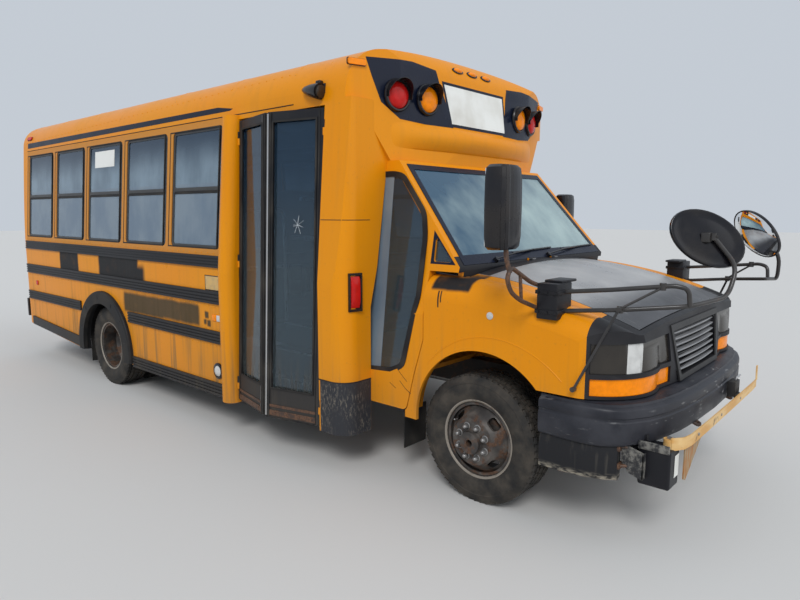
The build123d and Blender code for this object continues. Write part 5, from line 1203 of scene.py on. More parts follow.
def add_cap_marks():
    """Black lamp panels and the blank sign on the cap, and a stripe along each cantrail."""
    for side, sign in SIDES.items():
        points = [(0, sign * y, z) for y, z in PANEL_OUTLINE]
        skin(f"cap_panel_{side}", "front_cap", "body", "black_paint", "panel_black", convex_cuts(points, (1, 0, 0)),
             1.0, faces_forward)
    border = [(0, y * 1.06, SIGN_MIDDLE + (z - SIGN_MIDDLE) * 1.15) for y, z in SIGN_OUTLINE]
    skin("sign_border", "front_cap", "body", "black_paint", "panel_black", convex_cuts(border, (1, 0, 0)), 1.0,
         faces_forward)
    face = [(0, y, z) for y, z in SIGN_OUTLINE]
    skin("sign_face", "front_cap", "body", None, "sign_white", convex_cuts(face, (1, 0, 0)), 2.0, faces_forward)
    rear, front = CANTRAIL
    for name, sign in reversed(SIDES.items()):
        outline = [(rear, 0, 2335), (rear, 0, 2391), (front - 190, 0, 2379), (front, 0, 2352), (front - 40, 0, 2341)]
        cuts = convex_cuts(outline, (0, 1, 0)) + [((0, 0, 0), (0, -sign, 0))]
        skin(f"cantrail_stripe_{name}", "roof", "body", "black_paint", "panel_black", cuts, 1.0)


def round_lamp(lens, housing, place, facing, radius, depth=24, hood=0):
    """A round lamp: a domed lens in a ring, under a hood if it has one."""
    dome = [(radius - 6, depth * 0.4), (radius * 0.86, depth * 0.9), (radius * 0.5, depth * 1.25), (0, depth * 1.4)]
    lens.lathe(place, facing, dome, 32)
    rim = [(radius - 8, 0), (radius + 14, 0), (radius + 14, 7), (radius + 6, depth * 0.7), (radius - 3, depth * 0.7),
           (radius - 8, depth * 0.4), (radius - 8, 0)]
    housing.lathe(place, facing, rim, 32)
    if not hood:
        return
    facing = Vector(facing).normalized()
    across = facing.cross(Vector((0, 0, 1))).normalized()
    up = across.cross(facing)
    rings = []
    for step in range(25):
        degrees = -12 + 204 * step / 24
        turn = math.radians(degrees)
        outward = across * math.cos(turn) + up * math.sin(turn)
        reach = depth + hood * max(0.12, math.sin(math.radians(min(max(degrees, 0), 180)))) ** 0.6
        corners = ((5, depth * 0.4), (5, reach), (8, reach), (8, depth * 0.4))
        rings.append([Vector(place) + outward * (radius + off) + facing * along for off, along in corners])
    housing.strip(rings)


REAR_FACE = -6085


def add_warning_lamps():
    """Hooded warning lamps on the cap and the back, and the tail lamps below."""
    housing = Kit()
    lenses = {name: Kit() for name in ("amber_lens", "red_lens", "clear_lens")}
    for sign in SIDES.values():
        for y, turn, lens in WARNING_PLACES:
            spot, _ = touch(["front_cap"], (0, sign * y, 2343), (-1, 0, 0))
            facing = Vector((math.cos(turn), sign * math.sin(turn), 0))
            round_lamp(lenses[lens], housing, spot + facing * 4, facing, 86, 24, 62)
        for y, lens in ((620, "amber_lens"), (850, "red_lens")):
            round_lamp(lenses[lens], housing, (REAR_FACE - 1, sign * y, 2190), (-1, 0, 0), 84, 24, 60)
        for y, z, radius, lens in TAIL_PLACES:
            round_lamp(lenses[lens], housing, (REAR_FACE - 1, sign * y, z), (-1, 0, 0), radius, 18)
    lenses["red_lens"].done("red_lenses", "body", "lamp_lens", "red_lens", 60, replaces=["signal_lamps"])
    lenses["amber_lens"].done("amber_lenses", "body", None, "amber_lens", 60)
    lenses["clear_lens"].done("reversing_lenses", "body", "head_lamp", "clear_lens", 60)
    housing.done("lamp_rings", "body", "black_plastic", "gloss_black", 50)


def oval_marker(kit, base, place, facing, wide, tall):
    """A small marker lamp: an oval lens on an oval base, long side level."""
    facing = Vector(facing).normalized()
    across = facing.cross(Vector((0, 0, 1)))
    across = across.normalized() if across.length > 0.1 else Vector((0, 1, 0))
    up = across.cross(facing)
    flat = (across, up, wide / tall, 1.0)
    base.lathe(place, facing, [(tall / 2 + 5, -3), (tall / 2 + 5, 5), (tall / 2 + 1, 8), (0, 8)], 24, flat)
    kit.lathe(place, facing, [(tall / 2, 7), (tall / 2 - 2, 13), (tall / 2 - 8, 18), (0, 20)], 24, flat)


def plate_marker(kit, base, place, facing, wide, tall):
    """A small oblong marker lamp on a thin base, long side level."""
    across = facing.cross(Vector((0, 0, 1))).normalized()
    up = across.cross(facing)
    for part, grow, start, end in ((base, 4, -3, 3), (kit, 0, 2, 14)):
        a, b = wide / 2 + grow, tall / 2 + grow
        corners = [(-a, 6 - b), (6 - a, -b), (a - 6, -b), (a, 6 - b), (a, b - 6), (a - 6, b), (6 - a, b), (-a, b - 6)]
        part.prism([place + across * u + up * v + facing * start for u, v in corners], facing * (end - start))


def add_markers():
    """Oval and oblong markers round the roof, reflectors and a round step plate on the sides."""
    amber, red, white, base = Kit(), Kit(), Kit(), Kit()
    for y in (-170, 0, 170):
        spot, normal = touch(["front_cap"], (-600, y, 2597), (-1, 0, -0.05))
        oval_marker(amber, base, spot, normal, 96, 34)
    for y in (-170, 0, 170, -900, 900):
        spot, normal = touch(["roof", "rear_wall"], (-6300, y, 2540 if abs(y) < 500 else 2480), (1, 0, 0))
        oval_marker(red, base, spot, normal, 96, 34)
    for side, sign in SIDES.items():
        wall, inward = f"body_side_{side}", (0, -sign, 0)
        for x, z, kit in ((-800, 2502, amber), (-5900, 2440, red)):
            spot, normal = touch(["front_cap", "roof"], (x, sign * 1500, z), inward)
            plate_marker(kit, base, spot, normal, 118, 34)
        for x, kit in ((-2155, amber), (-2095, white), (-5700, red)):
            spot, _ = touch([wall], (x, sign * 1500, 857), inward)
            kit.side_box(sign, x - 27, x + 27, abs(spot.y), abs(spot.y) + 8, 834, 880, 3)
        spot, _ = touch([wall], (-2100, sign * 1500, 458), inward)
        base.lathe((-2124, spot.y, 458), (0, sign, 0), [(0, 0), (60, 0), (60, 10), (44, 16), (42, 8), (0, 8)], 32)
        white.lathe((-2124, spot.y, 458), (0, sign, 0), [(42, 8), (36, 18), (20, 23), (0, 25)], 32)
        spot, normal = touch(["fenders"], (109, sign * 1300, 1093), inward)
        white.cylinder(spot - normal * 2, normal, 20, 8, 20, 2)
    amber.done("amber_markers", "body", None, "amber_lens", 50)
    red.done("red_markers", "body", "lamp_lens", "red_lens", 50)
    white.done("white_reflectors", "body", "head_lamp", "clear_lens", 50)
    base.done("marker_bases", "body", "black_plastic", "gloss_black", 50)


STEP_LIGHT_AIM = (0.985, -0.05, -0.17)
STEP_LIGHT_HORN = ((0, -165), (10, -160), (24, -130), (37, -80), (45, -30), (48, 0), (48, 10), (0, 10))


def add_step_light():
    """The horn-shaped light under the roof, over the entrance."""
    kit = Kit()
    kit.lathe((-1030, -1172, 2352), STEP_LIGHT_AIM, STEP_LIGHT_HORN, 28)
    kit.box(-1062, -1022, -1176, -1140, 2388, 2418, 8, 2)
    kit.box(-1110, -1000, -1152, -1132, 2340, 2400, 4)
    kit.done("step_light", "body", "black_plastic", "gloss_black", 45)
    kit = Kit()
    kit.lathe((-1020, -1173, 2350), STEP_LIGHT_AIM, [(0, 0), (38, 0), (38, 14), (20, 18), (0, 19)], 24)
    kit.done("step_light_end", "body", "lamp_lens", "smoked_plastic", 45)


# The red lamp on the entrance column: the column's face there, and the lamp's middle.
COLUMN_FACING = Vector((0.955, -0.297, 0))
COLUMN_ACROSS = Vector((0.297, 0.955, 0))
COLUMN_LAMP = Vector((-776, -1138, 1160))


def add_column_lamp():
    """An oblong red lamp in a black frame on the entrance column."""
    def corner(along, up, out):
        return COLUMN_LAMP + COLUMN_ACROSS * along + Vector((0, 0, up)) + COLUMN_FACING * out

    def oblong(half, foot, head, out):
        return [corner(*p, out) for p in ((-half, foot), (half, foot), (half, head), (-half, head))]
    kit = Kit()
    kit.ring(oblong(46, -122, 112, 0), oblong(34, -106, 98, 0), COLUMN_FACING * 14)
    kit.prism(oblong(44, -120, 110, 1), COLUMN_FACING * 3)
    kit.done("column_lamp_frame", "body", "black_plastic", "gloss_black")
    kit = Kit()
    rings = []
    for step in range(9):
        share = -1 + step / 4
        up, bulge = 96 * share - 4, 16 * (1 - share ** 4)
        section = ((-32, 4), (-30, 6 + bulge * 0.8), (0, 8 + bulge), (30, 6 + bulge * 0.8), (32, 4))
        rings.append([corner(along, up, out) for along, out in section])
    kit.strip(rings)
    kit.done("column_lamp", "body", "lamp_lens", "red_lens", 60)


# The cap's brow roll as (height, how far out).
CAP_ROLL = ((2196, 0), (2180, 12), (2160, 27), (2138, 38), (2114, 42), (2088, 38), (2062, 26), (2040, 12), (2024, 0))


def add_cap_roll():
    """The rolled lower lip of the front cap, which fades out towards its corners."""
    kit = Kit()
    sections = []
    for share in range(-20, 21):
        swell = 1 - abs(share / 20) ** 5
        section, back = [], []
        for z, out in CAP_ROLL:
            spot, _ = touch(["front_cap"], (-300, share * 43, z), (-1, 0, 0))
            section.append(spot + Vector((out * swell - 3, 0, 0)))
            back.append(spot + Vector((-9, 0, 0)))
        sections.append(section + back[::-1])
    kit.strip(sections)
    kit.done("cap_roll", "body", "body_yellow", "body_yellow", 60)


ROOF_LAPS = (-5936, -5158, -4376, -2812, -2030, -1330)


def add_roof_laps():
    """The laps of the roof's sheets over its bows."""
    kit = Kit()
    for x in ROOF_LAPS:
        line = []
        for share in range(-22, 23):
            spot, normal = touch(["roof"], (x, share * 50, 3200), (0, 0, -1))
            line.append(spot - normal)
        kit.rod(line, 4, 6)
    kit.done("roof_laps", "body", "body_yellow", "body_yellow", 60)


def add_roof_rivets():
    """A row of small fasteners along each side of the roof."""
    kit = Kit()
    for sign in SIDES.values():
        for index in range(58):
            x = -5960 + index * 80
            height = 2418 + (x + 5051) * 0.0246
            spot, normal = touch(["roof", "front_cap"], (x, sign * 1400, height), (0, -sign, 0))
            kit.lathe(spot, normal, [(6.5, -1), (6, 2), (3, 3.6), (0, 4)], 8)
    kit.done("roof_fasteners", "body", "steel", "body_yellow", 60)


# The entrance doors.
LEAF_HINGES = {"front": ((-1003, -1239, 292), (-0.975, -0.223, 0)), "rear": ((-1882, -1239, 292), (0.975, -0.223, 0))}
LEAF_UP = Vector((0, 0.0424, 1))
LEAF_TALL = (2, 1962)
KICK_BOLTS = (60, 160, 260, 360)

# The bright strip of each leaf: its stretch along, up and out, and its finish.
LEAF_STRIPS = {"front": ((423, 434), (6, 1958), (0.5, 8), "bright_aluminium"),
               "rear": ((396, 400), (6, 1958), (0.5, 3), "dull_steel")}


def leaf_point(which, along, up, out):
    """A point on the outer face of a door leaf."""
    hinge, ahead = LEAF_HINGES[which]
    ahead = Vector(ahead)
    outward = ahead.cross(LEAF_UP)
    if outward.y > 0:
        outward = -outward
    return Vector(hinge) + ahead * along + LEAF_UP * up + outward.normalized() * out


def leaf_slab(kit, which, along, up, out):
    """A slab on a leaf between two values along, up and out."""
    corners = [(along[0], up[0]), (along[1], up[0]), (along[1], up[1]), (along[0], up[1])]
    points = [leaf_point(which, a, u, out[0]) for a, u in corners]
    shift = leaf_point(which, 0, 0, out[1]) - leaf_point(which, 0, 0, out[0])
    kit.prism(points, shift)


def leaf_ring(kit, which, outer, inner, out):
    """A frame on a leaf, each edge as values along and up."""
    loops = []
    for (a0, a1), (u0, u1) in (outer, inner):
        loops.append([leaf_point(which, a, u, out[0]) for a, u in ((a0, u0), (a1, u0), (a1, u1), (a0, u1))])
    kit.ring(*loops, leaf_point(which, 0, 0, out[1]) - leaf_point(which, 0, 0, out[0]))


def add_leaf_trim():
    """Rubbers, a bright strip and a kick plate on each door leaf."""
    for which, (*strip, finish) in LEAF_STRIPS.items():
        body = f"entrance_leaf_{which}"
        kit = Kit()
        leaf_slab(kit, which, (434, 446), LEAF_TALL, (-38, 6))
        leaf_slab(kit, which, (404, 421), LEAF_TALL, (0, 5))
        leaf_slab(kit, which, (30, 38), LEAF_TALL, (-2, 2))
        leaf_ring(kit, which, ((48, 400), (188, 1914)), ((60, 388), (200, 1902)), (-2, 5))
        leaf_slab(kit, which, (44, 438), (-8, 4), (-34, -6))
        kit.done(f"leaf_rubbers_{which}", body, "black_rubber", "black_rubber")
        kit = Kit()
        leaf_slab(kit, which, *strip)
        kit.done(f"leaf_strips_{which}", body, "steel", finish)
        kit = Kit()
        leaf_slab(kit, which, (32, 416), (10, 46), (0.6, 3.5))
        leaf_slab(kit, which, (32, 416), (66, 84), (0.6, 3))
        for along in KICK_BOLTS:
            kit.lathe(leaf_point(which, along, 28, 3), (0, -1, 0), [(0, -1), (7, -1), (7, 2), (3, 4), (0, 4)], 10)
        kit.done(f"leaf_kick_{which}", body, "chassis", "rusty_tube")


STAR_PLACE = (190, 1262)
STAR_RAYS = 11


def add_glass_star():
    """The star-shaped crack in the front leaf's pane."""
    along, up = STAR_PLACE
    centre = leaf_point("front", along, up, 0.4)
    ahead = leaf_point("front", along + 1, up, 0.4) - centre
    star = Kit()
    for index in range(STAR_RAYS):
        turn = math.tau * index / STAR_RAYS + 0.3 * (index % 3)
        reach = 34 + 26 * ((index * 7) % 5) / 4
        tip = centre + ahead * math.cos(turn) * reach + LEAF_UP * math.sin(turn) * reach
        star.rod([centre, centre.lerp(tip, 0.5) + LEAF_UP * 3 * (index % 2), tip], 0.9, 4)
    star.done("glass_star", "entrance_leaf_front", "glass", "crack_white", 0)


# Bumper and crossing arm: half lines seen from above as (x, y), sections as (inset, height).
BUMPER_LINE = ((412, 1020), (560, 1019), (660, 1010), (750, 985), (830, 930), (895, 820), (935, 690), (962, 520),
               (978, 300), (985, 0))
BUMPER_SECTION = ((128, 712), (128, 738), (60, 736), (46, 731), (30, 730), (26, 718), (12, 712), (3, 704), (0, 690),
                  (0, 668), (6, 662), (6, 650), (0, 644), (0, 560), (8, 536), (22, 526), (60, 523), (64, 530),
                  (30, 540), (18, 570), (18, 690), (40, 706))
VALANCE_LINE = ((414, 1004), (560, 1003), (660, 992), (745, 962), (792, 930))
VALANCE_SECTION = ((0, 356), (18, 352), (40, 370), (34, 528), (8, 528), (-4, 470))


def bumper_line(inset):
    """The front bumper seen from above, from its right end to its left."""
    line = []
    for x, y in BUMPER_LINE:
        shrink = min(1, (x - BUMPER_LINE[0][0]) / 300)
        line.append((x - inset * shrink, -(y - inset * (1 - 0.85 * shrink))))
    return line + [(x, -y) for x, y in reversed(line[:-1])]


def add_bumper():
    """The bumper's moulding, the lower valance and the irons behind."""
    kit = Kit()
    lines = [(bumper_line(inset), height) for inset, height in BUMPER_SECTION]
    kit.strip([[(*line[index], height) for line, height in lines] for index in range(len(lines[0][0]))])
    kit.done("bumper_moulding", "body", "black_plastic", "bumper_plastic", 28, replaces=["front_bumper"])
    kit = Kit()
    for sign in SIDES.values():
        kit.strip([[(x, sign * (y - inset), z) for inset, z in VALANCE_SECTION] for x, y in VALANCE_LINE])
    kit.done("bumper_valance", "body", "black_plastic", "valance_plastic", 40)
    kit = Kit()
    kit.box(520, 560, -1000, -960, 352, 360)
    for sign in SIDES.values():
        kit.side_box(sign, 800, 925, 380, 480, 560, 690)
        hook = ((930, 300, 545), (985, 300, 520), (985, 340, 520), (930, 340, 545))
        kit.rod([(x, sign * y, z) for x, y, z in hook], 9, 10, 20)
    kit.done("bumper_irons", "body", "chassis", "rusty_tube")


# The crossing arm's pivot, and its strap's line as (x, y, rise) up to the turned-up tip.
ARM_PIVOT = (985, -800, 556)
ARM_LINE = ((1000, -822, 0), (1040, -760, 0), (1052, -690, 2), (1055, -400, 4), (1056, 0, 6), (1056, 500, 10),
            (1055, 600, 14), (1052, 628, 30), (1048, 640, 60), (1046, 646, 118))
ARM_TIP = 7
ARM_GUSSET = ((-722, 362), (-694, 350), (-640, 384), (-530, 462), (-430, 530), (-722, 530))


def add_crossing_arm():
    """A flat yellow strap with a turned-up tip, its bolts and the gusset under it."""
    pivot = ARM_PIVOT[2]
    kit = Kit()
    rings = []
    for index, (x, y, rise) in enumerate(ARM_LINE):
        tall, z = 62 - index * 2.6, pivot + rise
        if index < ARM_TIP:
            edges = ((-3, 0, -tall / 2), (4, 0, -tall / 2), (4, 0, tall / 2), (-3, 0, tall / 2))
        else:
            edges = ((0, -tall / 2, 0), (6, -tall / 2, 0), (6, 4, 0), (0, 4, 0))
        rings.append([(x + ahead, y + across, z + up) for ahead, across, up in edges])
    kit.strip(rings)
    kit.stub(ARM_PIVOT, (0, 0, 1), 27, -20, 20, 20)
    kit.done("crossing_arm_strap", "crossing_arm", "body_yellow", "arm_tan", 30, replaces=["crossing_arm"])
    kit = Kit()
    for y in (-600, -200, 200):
        kit.lathe((1060, y, pivot + 6), (1, 0, 0), [(0, -3), (8, -3), (7, 3), (0, 3)], 10)
    kit.stub((*ARM_PIVOT[:2], pivot + 18), (0, 0, 1), 12, 0, 10, 6)
    kit.done("crossing_arm_bolts", "crossing_arm", "steel", "dull_steel")
    kit = Kit()
    kit.prism([(1016.5, y, z) for y, z in ((-806, 392), (-750, 392), (-750, 500), (-806, 500))], (1.2, 0, 0))
    kit.done("motor_label", "body", None, "sign_white")
    kit = Kit()
    kit.prism([(1030, y, z) for y, z in ARM_GUSSET], (6, 0, 0))
    kit.done("arm_gusset", "crossing_arm", "chassis", "rusty_tan")


def add_motor_bracket():
    """What carries the crossing arm's motor box, and the catch at the arm's far end."""
    kit = Kit()
    plate = ((800, 540), (800, 452), (838, 398), (905, 378), (905, 510))
    kit.prism([(x, -905, z) for x, z in plate], (0, 8, 0))
    kit.box(899, 905, -905, -868, 378, 505, 1)
    kit.box(866, 1010, -872, -860, 520, 560, 3)
    kit.done("motor_bracket", "body", "chassis", "dusty_black")
    kit = Kit()
    kit.box(786, 802, -930, -880, 500, 545, 3)
    kit.box(786, 802, -930, -880, 410, 440, 3)
    kit.rod([(800, -912, 525), (830, -896, 522)], 9, 8)
    kit.rod([(800, -912, 425), (830, -896, 430)], 9, 8)
    kit.done("motor_bracket_feet", "body", "chassis", "rusty_tube")
    kit = Kit()
    kit.box(986, 1030, 200, 300, 560, 650, 4)
    kit.box(1020, 1040, 215, 285, 540, 575, 3)
    kit.done("arm_catch", "body", "black_plastic", "worn_black")
    kit = Kit()
    kit.rod([(1015, 250, 655), (1022, 250, 668), (1022, 330, 668)], 6, 8, 8)
    kit.done("arm_catch_rod", "body", "steel", "bright_aluminium")


# The cab's trim.
SCREEN_LOW = Vector((-143, 0, 1330))
SCREEN_HIGH = Vector((-672, 0, 1950))
SCREEN_ALONG = (SCREEN_HIGH - SCREEN_LOW).normalized()
SCREEN_OUT = Vector((SCREEN_ALONG.z, 0, -SCREEN_ALONG.x))


def screen_point(y, up, out=0):
    """A point over the windshield, up it from the cowl."""
    return SCREEN_LOW + SCREEN_ALONG * up + Vector((0, y, 0)) + SCREEN_OUT * out


# The border's outside and inside over the windshield, and each wiper's foot and tip, as (y, up the slope).
BORDER_OUTER = ((-892, 8), (892, 8), (806, 785), (-806, 785))
BORDER_INNER = ((-846, 76), (846, 76), (768, 742), (-768, 742))
WIPERS = (((-560, 20), (-60, 70)), ((90, 20), (590, 66)))


def add_cab_trim():
    """The windshield's painted border and wipers, and the black panels round its foot."""
    kit = Kit()
    kit.ring(*([screen_point(*p, 1) for p in loop] for loop in (BORDER_OUTER, BORDER_INNER)), SCREEN_OUT * 3)
    kit.done("windshield_border", "body", "black_rubber", "panel_black")
    kit = Kit()
    for start, tip in WIPERS:
        begin, end = screen_point(*start, 10), screen_point(*tip, 16)
        kit.lathe(begin, SCREEN_OUT, [(0, -14), (18, -14), (16, 14), (0, 16)], 16)
        kit.rod([begin + SCREEN_OUT * 12, begin.lerp(end, 0.45) + SCREEN_OUT * 20, end], 5, 8)
        blade = [end + Vector((0, -270, 0)) - SCREEN_ALONG * 10, end + SCREEN_OUT * 3,
                 end + Vector((0, 250, 0)) + SCREEN_ALONG * 8]
        kit.rod([point - SCREEN_OUT * 6 for point in blade], 6, 6)
    kit.done("wipers", "body", "black_rubber", "gloss_black")
    cuts = [((-190, 0, 0), (-1, 0, 0)), ((0, 0, 1225), (0, 0, -1))]
    skin("screen_base", "cab_shell", "body", "black_plastic", "black_plastic", cuts, 1.2,
         lambda normal, centre: normal.x > 0.2 or normal.z > 0.3)
    skin("cowl_panel", "hood", "hood", "black_plastic", "black_plastic", [((-62, 0, 0), (1, 0, 0))], 1.2,
         lambda normal, centre: normal.z > 0.3)
    for side, sign in SIDES.items():
        points = [(-352, sign * 900, 1340), (-172, sign * 938, 1340), (-345, sign * 914, 1532)]
        cuts = convex_cuts(points, (0, 1, 0)) + [((0, 0, 0), (0, -sign, 0))]
        skin(f"quarter_panel_{side}", "cab_shell", "body", "black_plastic", "panel_black", cuts, 1.0,
             lambda normal, centre: abs(normal.y) > 0.6)


# The inside.
BENCH_ROWS = {"right": 4, "left": 5}
BENCH_FIRST = -5620
BENCH_PITCH = 782
BENCH_INNER = 179
BENCH_OUTER = 1159
BENCH_FLOOR = 800
BENCH_LEGS = (240, 520)


def pillow(kit, ring, span, crown, seams, sink=7):
    """A stuffed shape: a side outline carried across, crowned in the middle and drawn in at its seams."""
    start, end = span
    middle = sum((Vector((x, 0, z)) for x, z in ring), Vector()) / len(ring)
    rings = []
    for step in range(33):
        share = step / 32
        y = start + (end - start) * share
        edge = min(1.0, math.sin(math.pi * share) * 3.2) ** 0.5
        near = min(abs(share - seam) for seam in seams)
        dip = sink * max(0, 1 - near / 0.024)
        swell = crown * edge - dip - crown * 0.5
        section = []
        for x, z in ring:
            away = Vector((x, 0, z)) - middle
            moved = Vector((x, 0, z)) + away.normalized() * swell * (1 if step not in (0, 32) else 1.6)
            section.append((moved.x, y, moved.z))
        rings.append(section)
    kit.strip(rings)


def soft_outline(points, bend=34, steps=3):
    """A closed outline in (x, z) with rounded corners."""
    line = []
    count = len(points)
    for index in range(count):
        before, corner, after = (Vector((*points[(index + shift) % count], 0)) for shift in (-1, 0, 1))
        line += [(spot.x, spot.y) for spot in bent_corner(before, corner, after, bend, 0.4, steps)]
    return line


def seat_outlines(x, z):
    """Cushion and back of one bench seen from the side."""
    cushion = [(x + 20, z + 318), (x + 425, z + 322), (x + 430, z + 446), (x + 50, z + 420)]
    back = [(x - 38, z + 330), (x + 44, z + 400), (x - 22, z + 1056), (x - 106, z + 1056)]
    return soft_outline(cushion, 42), soft_outline(back, 36)


def add_benches():
    """Stuffed cushions and backs, on plain steel frames."""
    frames = Kit()
    for side, rows in BENCH_ROWS.items():
        sign = SIDES[side]
        low, high = sorted((sign * BENCH_INNER, sign * BENCH_OUTER))
        for row in range(rows):
            x = BENCH_FIRST + row * BENCH_PITCH
            for part, ring in zip(("cushion", "back"), seat_outlines(x, BENCH_FLOOR)):
                kit = Kit()
                pillow(kit, ring, (low + 6, high - 6), 14, (0.0, 0.5, 1.0))
                made = kit.done(f"bench_{part}_{side}_{row + 1}", "body", "seat_vinyl", "vinyl", 50,
                                replaces=["passenger_seats"])
            for near in BENCH_LEGS:
                far = near + 34
                frames.side_box(sign, x + 70, x + 110, near, far, BENCH_FLOOR, 1122, 3)
                frames.side_box(sign, x + 330, x + 364, near, far, BENCH_FLOOR, 1122, 3)
                frames.side_box(sign, x + 60, x + 380, near, far, BENCH_FLOOR, BENCH_FLOOR + 8, 2)
            for rail in (62, 350):
                frames.side_box(sign, x + rail, x + rail + 34, 230, 1150, 1096, 1124, 3)
    frames.done("bench_frames", "body", "chassis", "tube_black")


# The driver's seat: each pad's side outline, rounding, stretch across, crown and seams.
DRIVER_PADS = {
    "cushion": (((-1150, 985), (-706, 1000), (-700, 1112), (-1120, 1090)), 46, (330, 795), 22,
                (0.0, 0.18, 0.82, 1.0)),
    "back": (((-1160, 1080), (-1060, 1100), (-1150, 1622), (-1250, 1622)), 40, (335, 790), 24, (0.0, 0.2, 0.8, 1.0)),
    "headrest": (((-1190, 1618), (-1132, 1620), (-1146, 1730), (-1212, 1728)), 22, (450, 675), 12, (0.0, 1.0)),
}


def add_driver_seat():
    """Pads, base and belt of the driver's seat."""
    for name, (outline, bend, span, crown, seams) in DRIVER_PADS.items():
        kit = Kit()
        pillow(kit, soft_outline(outline, bend), span, crown, seams)
        made = kit.done(f"driver_{name}", "body", "seat_vinyl", "vinyl", 50, replaces=["driver_seat"])
    kit = Kit()
    kit.box(-1120, -780, 350, 775, 726, 760, 5)
    kit.box(-1080, -820, 390, 735, 758, 985, 14)
    for y in (520, 605):
        kit.rod([(-1185, y, 1600), (-1190, y, 1640)], 7, 8)
    kit.done("driver_seat_base", "body", "chassis", "tube_black")
    kit = Kit()
    kit.rod([(-1235, 800, 1560), (-1180, 800, 1560), (-1090, 800, 1150), (-1100, 800, 1020)], 12, 6, 20)
    kit.done("seat_belt", "body", "black_rubber", "black_rubber")


# The steering wheel's middle, and the way it faces.
WHEEL_CENTRE = Vector((-560, 480, 1240))
WHEEL_FACING = Vector((-0.8, 0, 0.6))


def add_steering_wheel():
    """Rim, three spokes, hub, column and stalks."""
    across = Vector((0, 1, 0))
    up = across.cross(WHEEL_FACING)

    def ray(degrees):
        turn = math.radians(degrees)
        return across * math.cos(turn) + up * math.sin(turn)
    kit = Kit()
    kit.rod([WHEEL_CENTRE + ray(360 * step / 48) * 195 for step in range(49)], 14, 10, cap=False)
    hub = [(0, 0), (72, 0), (74, 22), (60, 36), (30, 42), (0, 44)]
    kit.lathe(WHEEL_CENTRE - WHEEL_FACING * 20, WHEEL_FACING, hub, 28)
    for spoke in map(ray, (20, 160, 270)):
        bend = WHEEL_CENTRE + spoke * 120 - WHEEL_FACING * 6
        kit.rod([WHEEL_CENTRE + spoke * 50, bend, WHEEL_CENTRE + spoke * 192], 13, 8)
    kit.rod([WHEEL_CENTRE - WHEEL_FACING * 10, WHEEL_CENTRE - WHEEL_FACING * 250], 28, 16)
    for stalk in (150, -130):
        base = WHEEL_CENTRE - WHEEL_FACING * 70
        kit.rod([base, base + Vector((0, stalk, 30))], 7, 8)
    kit.done("steering_wheel_detail", "body", "black_plastic", "gloss_black", 50, replaces=["steering_wheel"])


def add_fittings():
    """The instrument hood, grab rails, the barrier behind the steps, the inside mirror and the step edges."""
    kit = Kit()
    kit.box(-470, -330, 300, 660, 1180, 1345, 40, 4)
    for y in (-560, -300, 40):
        kit.box(-512, -500, y - 70, y + 70, 1130, 1190, 6)
    kit.box(-520, -500, -200, 120, 1010, 1100, 8)
    kit.done("instrument_hood", "body", "black_plastic", "black_plastic")
    kit = Kit()
    kit.rod([(-1330, -770, 1000), (-1330, -770, 1720), (-1330, -1080, 1720)], 16, 10, 60)
    kit.rod([(-1900, -775, 810), (-1900, -775, 1650), (-1900, -1140, 1650)], 16, 10, 60)
    kit.rod([(-1900, -775, 1230), (-1900, -1150, 1230)], 16, 10)
    kit.rod([(-1120, -800, 900), (-1500, -800, 1450), (-1780, -800, 1450)], 16, 10, 60)
    kit.done("grab_rails", "body", "steel", "bright_aluminium")
    kit = Kit()
    kit.box(-1912, -1894, -1140, -780, 830, 1640, 4)
    kit.done("entrance_barrier", "body", "seat_vinyl", "vinyl")
    kit = Kit()
    kit.box(-720, -690, -160, 160, 1860, 1930, 8)
    kit.rod([(-700, 0, 1930), (-700, 0, 1950)], 10, 8)
    kit.done("inside_mirror", "body", "black_plastic", "gloss_black")
    kit = Kit()
    for index in range(3):
        y, z = -820 - index * 118, 800 - index * 170
        kit.box(-1868, -1010, y, y + 14, z - 6, z + 5, 2)
    kit.done("step_edges", "body", "steel", "bright_aluminium")


# The rear and the left side.
# Edges on the back, as low and high y, then low and high z.
REAR_PLATE = (-770, -470, 655, 805)
DOOR_SEAL = (-392, 411, 824, 2101)


def rear_loop(x, edges, grow):
    """A rectangle on the back, let out on every side."""
    y0, y1, z0, z1 = edges
    corners = ((y0 - grow, z0 - grow), (y1 + grow, z0 - grow), (y1 + grow, z1 + grow), (y0 - grow, z1 + grow))
    return [(x, y, z) for y, z in corners]


